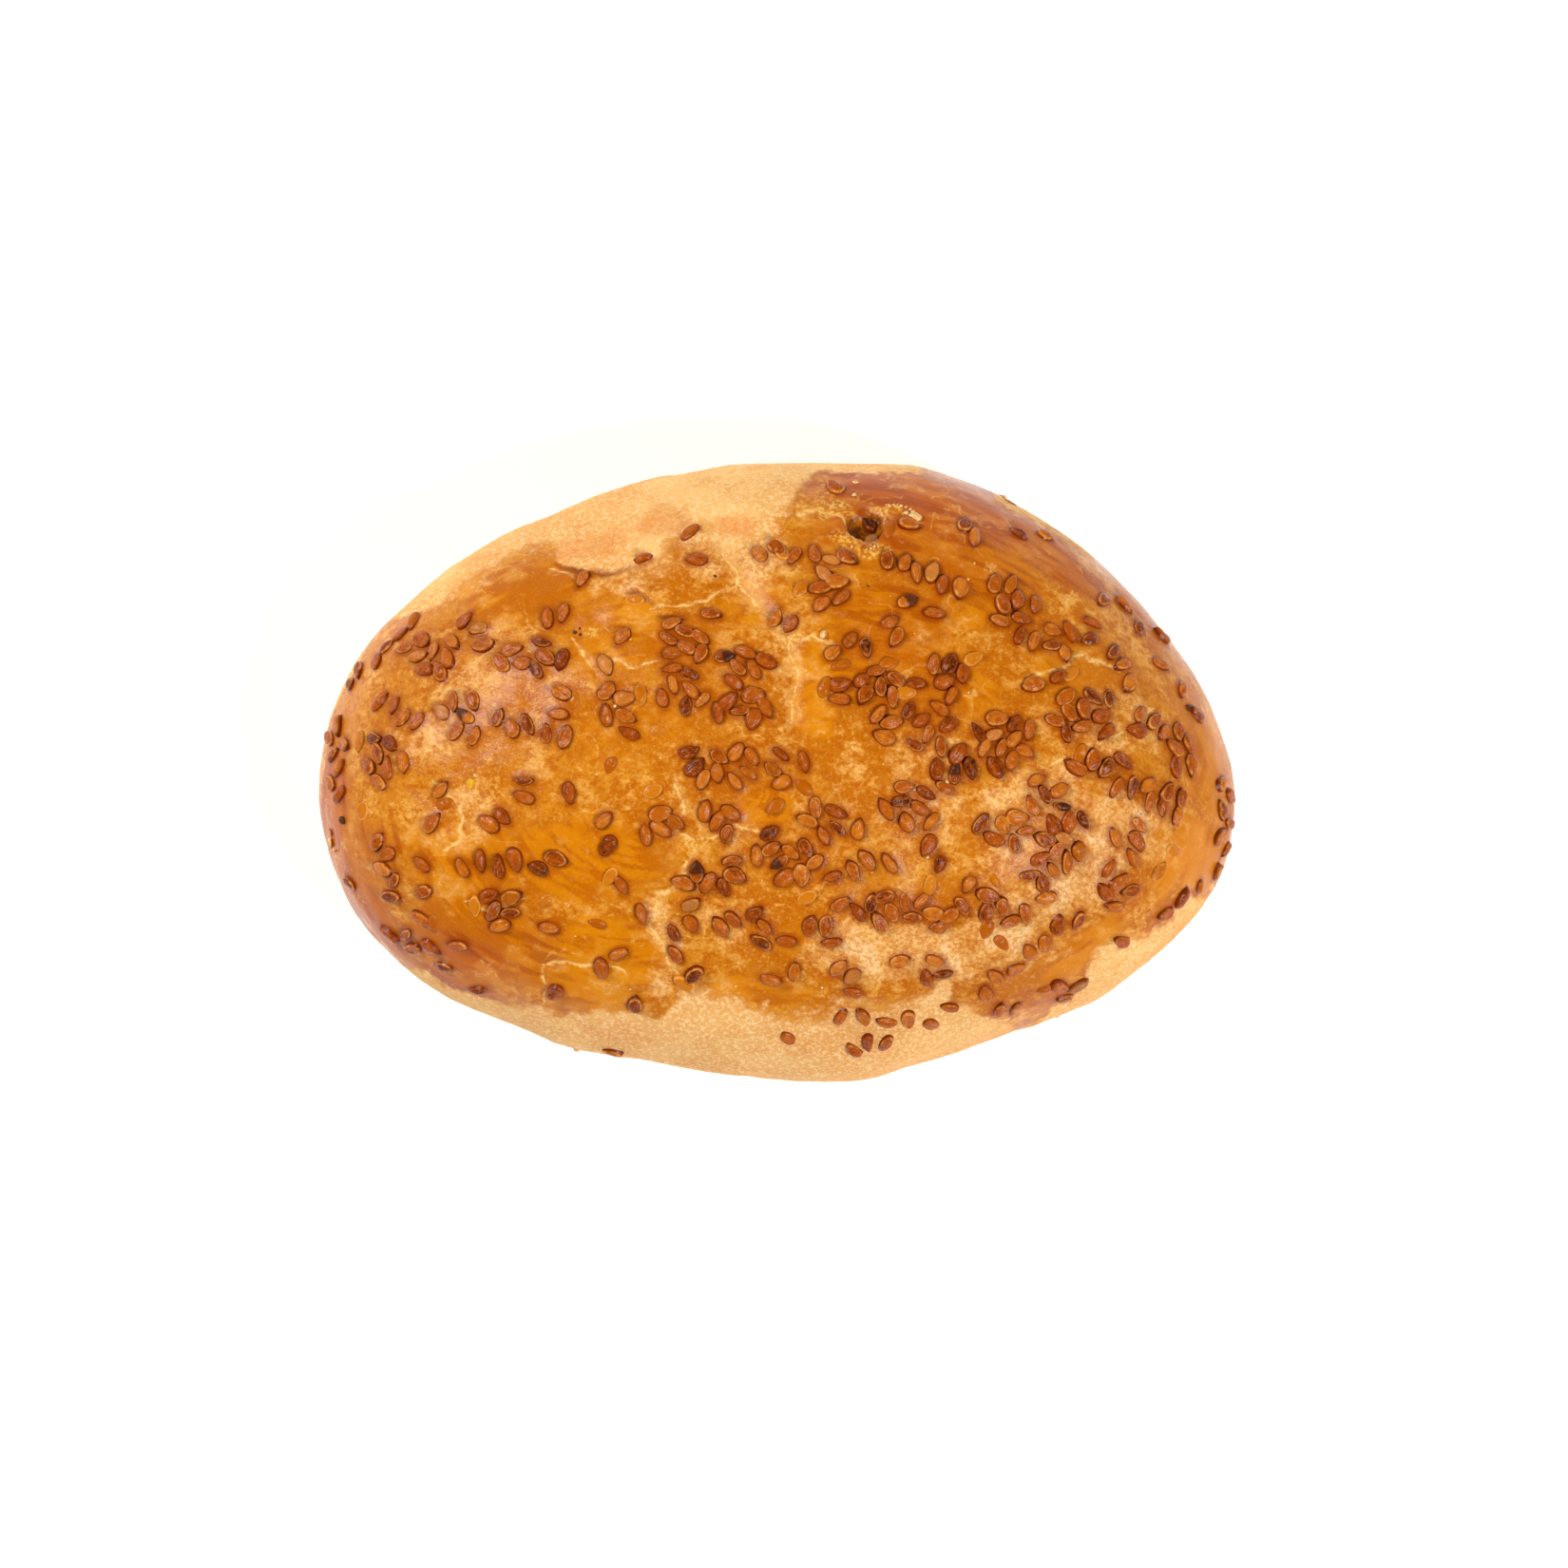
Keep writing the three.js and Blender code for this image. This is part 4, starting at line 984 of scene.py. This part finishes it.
# Seeds under the wash, in plan, and how far they keep from the seeds on it
GLAZED = [
    (-18.9, 22.4), (-18, 9.5), (-15.7, 5.1), (-28, 9.6), (-16.4, -3), (-22, 0.3), (-21.5, -14.9),
    (-39, -17.5), (-46, -20), (-54.5, -5.5), (-44, -4.5), (-55.5, 3.5), (-23.8, -20.7), (-30.7, -17.7),
    (-11.3, -27.7), (3.2, 23.6), (1, 28.5), (6.3, 10.7), (7.5, 15), (14, 13.3), (17, 10), (26, 14.5),
    (39, 12.5), (14.8, 31.4), (-0.3, -5), (3.5, -2.5), (4, -17), (20, -15.5), (28.5, -14.5),
    (29.5, -22.8), (27.5, -21), (50.5, -13.5), (52.5, -11), (37, -29), (40.5, 1),
]
GLAZED_APART = 1.9


def glazed_seeds(others):
    """The seeds under the wash, as strewn_seeds gives them, moved clear of the others."""
    draw = draws(4021)
    seeds = []
    for x, y in GLAZED:
        for ox, oy in others:
            gap = math.hypot(x - ox, y - oy)
            if 1e-6 < gap < GLAZED_APART:
                x, y = ox + (x - ox) * GLAZED_APART / gap, oy + (y - oy) * GLAZED_APART / gap
        t, v = on_dome(x, y)
        sunk, heading, size = 0.22 + 0.12 * next(draw), 2 * math.pi * next(draw), 0.92 + 0.2 * next(draw)
        seeds.append([t, v, sunk, heading, size, 0, 0])
    return np.array(seeds, dtype=float)


seeds = strewn_seeds()
crust = crust_piece(crust_material(), seeds)
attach(crust, "root")
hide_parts("pogaca")

# One seed in five is dark, and so are the two in the pit
tone_draw = draws(977)
tones = []
for _ in seeds:
    lot, depth = next(tone_draw), next(tone_draw)
    tones.append(0.4 + 0.6 * depth if lot > 0.2 else 0.15 + 0.3 * depth)
tones[-2:] = (0.0, 0.1)
points, faces, looks = laid(seeds, tones)
sesame = make_mesh("sesame_seeds", points, faces, seed_material(), looks)
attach(sesame, "root")

places = crust_points(seeds[:, 0], seeds[:, 1])[:, :2]
covered = glazed_seeds(places.tolist())
points, faces, looks = laid(covered, [next(tone_draw) for _ in covered])
glazed = make_mesh("glazed_seeds", points, faces, glazed_material(), looks)
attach(glazed, "root")

# ---- crumbs and specks

# Loose bits, in plan: (x, y, width), and for a flake also how long it is for its width
PALE_CRUMBS = [
    (18.2, 32.6, 1.2), (18, 33.1, 0.7), (17, 33.1, 0.6), (17.5, 33.6, 0.4), (16.9, 33.9, 0.35),
    (16.3, 34.1, 0.5), (15.9, 34.3, 0.35), (15.4, 34.3, 0.3), (14.8, 34.2, 0.55), (14.4, 34.4, 0.3),
    (12.9, 29.2, 0.45), (12.4, 29, 0.35), (11.8, 28.9, 0.3), (10.4, 37.9, 0.6), (10.2, 36.2, 0.6),
    (9.9, 29.3, 0.3), (6.1, 17.5, 0.9), (-21.4, 8.1, 0.45), (-39.8, -1, 0.6), (19.8, -11.7, 0.5),
    (22.3, -1.9, 0.6), (-27, -37.7, 0.8), (-2.4, 28.5, 0.4), (-5.5, 24.5, 0.4), (30.6, 36.3, 0.6),
    (-59.4, -9.8, 0.8, 1.8), (38.2, -33.8, 0.6), (-58.8, -10.9, 0.5),
]
SKIN_FLAKES = [
    (31.0, 35.4, 0.4, 5.0), (29.9, 36.1, 0.25, 3.0), (52.0, 18.6, 0.3, 4.0), (16.6, 40.7, 0.3, 5.0),
    (-59.3, -8.6, 0.4, 3.0),
]
YELLOW_FLECKS = [(-40.5, -2.0, 1.0), (-19.4, 17.0, 0.45)]
DARK_SPECKS = [
    (-57.3, -6.7, 1), (-26.9, 18.2, 0.45), (-26.2, 17.8, 0.35), (-26.3, 18.7, 0.25), (54.9, 8, 0.8),
    (-8.3, 25.6, 0.4), (-28, -13, 0.2), (48, -6, 0.25), (12, 24, 0.25),
]


def dust():
    """The finest crumbs, strewn over the whole top."""
    draw = draws(5119)
    rows = []
    for _ in range(60):
        turn, reach = 2 * math.pi * next(draw), math.sqrt(next(draw))
        rows.append((54 * reach * math.cos(turn), 33 * reach * math.sin(turn), 0.12 + 0.2 * next(draw) ** 2))
    return rows


def pebble():
    """A small round lump as points and faces: an octahedron with each face split in four, twice."""
    points = [(1, 0, 0), (-1, 0, 0), (0, 1, 0), (0, -1, 0), (0, 0, 1), (0, 0, -1)]
    faces = [(0, 2, 4), (2, 1, 4), (1, 3, 4), (3, 0, 4), (2, 0, 5), (1, 2, 5), (3, 1, 5), (0, 3, 5)]
    for _ in range(2):
        halves, split = {}, []
        for a, b, c in faces:
            mids = []
            for i, j in ((a, b), (b, c), (c, a)):
                key = (min(i, j), max(i, j))
                if key not in halves:
                    halves[key] = len(points)
                    points.append([(points[i][n] + points[j][n]) / 2 for n in range(3)])
                mids.append(halves[key])
            ab, bc, ca = mids
            split += [(a, ab, ca), (ab, b, bc), (ca, bc, c), (ab, bc, ca)]
        faces = split
    return unit(np.array(points, dtype=float)), faces


def lumps_at(rows, flat, salt):
    """One mesh of little uneven lumps lying on the crust. A flake lies along the outline."""
    ball, ball_faces = pebble()
    draw = draws(salt)
    points, faces = [], []
    for k, (x, y, width, *flake) in enumerate(rows):
        t, v = on_dome(np.array(x), np.array(y), 1.0)
        middle, normal, around, up = crust_frames(t, v)
        turn = 0.15 if flake else 2 * math.pi * next(draw)
        side = around * math.cos(turn) + up * math.sin(turn)
        long = flake[0] if flake else 0.7 + 0.8 * next(draw)
        axes = np.stack([side * long, np.cross(normal, side), normal * flat])
        knobs = 1 + 1.5 * cloud(3 * ball[:, 0] + 7 * k, 3 * ball[:, 1], 2.0, salt % 97, 2, 3 * ball[:, 2])
        points.append(middle + normal * 0.3 * flat * width + (ball * knobs[:, None]) @ axes * width / 2)
        faces += [tuple(i + k * len(ball) for i in face) for face in ball_faces]
    return np.concatenate(points), faces


def bit_material(name, low, high):
    s = Shader(name)
    grain = s.noise(0.3, 3, 0.6)
    colour = s.mix(s.band(grain, 0.4, 0.62), low, high)
    return s.finish(colour, 0.6, s.bump(s.times(grain, 0.08)), Specular_IOR_Level=0.3)


for name, rows, flat, low, high in (
    ("pale_crumbs", PALE_CRUMBS + dust(), 0.7, (226, 162, 76), (252, 220, 164)),
    ("skin_flakes", SKIN_FLAKES, 0.5, (140, 76, 24), (206, 136, 62)),
    ("yellow_flecks", YELLOW_FLECKS, 0.5, (216, 148, 10), (240, 186, 30)),
    ("dark_specks", DARK_SPECKS, 0.6, (52, 22, 8), (104, 52, 20)),
):
    points, faces = lumps_at(rows, flat, 300 + len(rows))
    bits = make_mesh(name, points, faces, bit_material(name, low, high))
    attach(bits, "root")

# ---- the studio

# The floor glows a little, so that it is white right up to the roll
FLOOR_GLOW = 0.34
FLOOR_SIZE = 6
# Just under the base, so that the two flat faces don't show through each other
FLOOR_HEIGHT = -0.0001
SOFTBOX_AWAY = 0.8
SOFTBOX_SIDE = 0.22
FRAME_WIDTH = 0.2112
FRAME_CENTRE = (0.00106, -0.00163)
LENS = 250
SENSOR = 36

s = Shader("studio_floor")
floor_tone = s.mix(s.noise(40, 3, 0.5), (246, 246, 246), (249, 249, 249))
floor_material = s.finish(floor_tone, 0.9, None, Emission_Color=(1, 1, 1, 1), Emission_Strength=FLOOR_GLOW)
floor_material.cycles.emission_sampling = "NONE"
bpy.ops.mesh.primitive_plane_add(size=FLOOR_SIZE, location=(0, 0, FLOOR_HEIGHT))
floor = bpy.context.object
floor.name = "studio_floor"
floor.data.materials.append(floor_material)


def softbox(name, direction, power):
    data = bpy.data.lights.new(name, "AREA")
    data.size = SOFTBOX_SIDE
    data.energy = power
    lamp = bpy.data.objects.new(name, data)
    bpy.context.scene.collection.objects.link(lamp)
    lamp.location = Vector(direction).normalized() * SOFTBOX_AWAY
    lamp.rotation_euler = (-Vector(direction)).to_track_quat("-Z", "Y").to_euler()


def studio_light(overhead, low):
    """White walls round a dark ceiling, so the glaze mirrors no veil into a camera above it."""
    s = Shader("studio", "worlds")
    upward = s.node("SeparateXYZ", [s.node("TexCoord").outputs["Generated"]]).outputs[2]
    light = s.node("Background", [(1, 1, 1, 1), s.band(upward, 0.05, 0.6, low, overhead)])
    s.node("OutputWorld", [light.outputs[0]])
    bpy.context.scene.world = s.made


softbox("softbox_left", (-0.64, 0.38, 0.67), 4.7)
softbox("softbox_right", (0.5, -0.32, 0.8), 4.9)
studio_light(0.03, 0.55)

camera_data = bpy.data.cameras.new("camera")
camera_data.lens = LENS
camera_data.sensor_width = SENSOR
camera_data.clip_end = 20
camera = bpy.data.objects.new("camera", camera_data)
bpy.context.scene.collection.objects.link(camera)
camera.location = (*FRAME_CENTRE, WIDEST_AT * MM + FRAME_WIDTH * LENS / SENSOR)
bpy.context.scene.camera = camera

bpy.context.scene.view_settings.view_transform = "Standard"
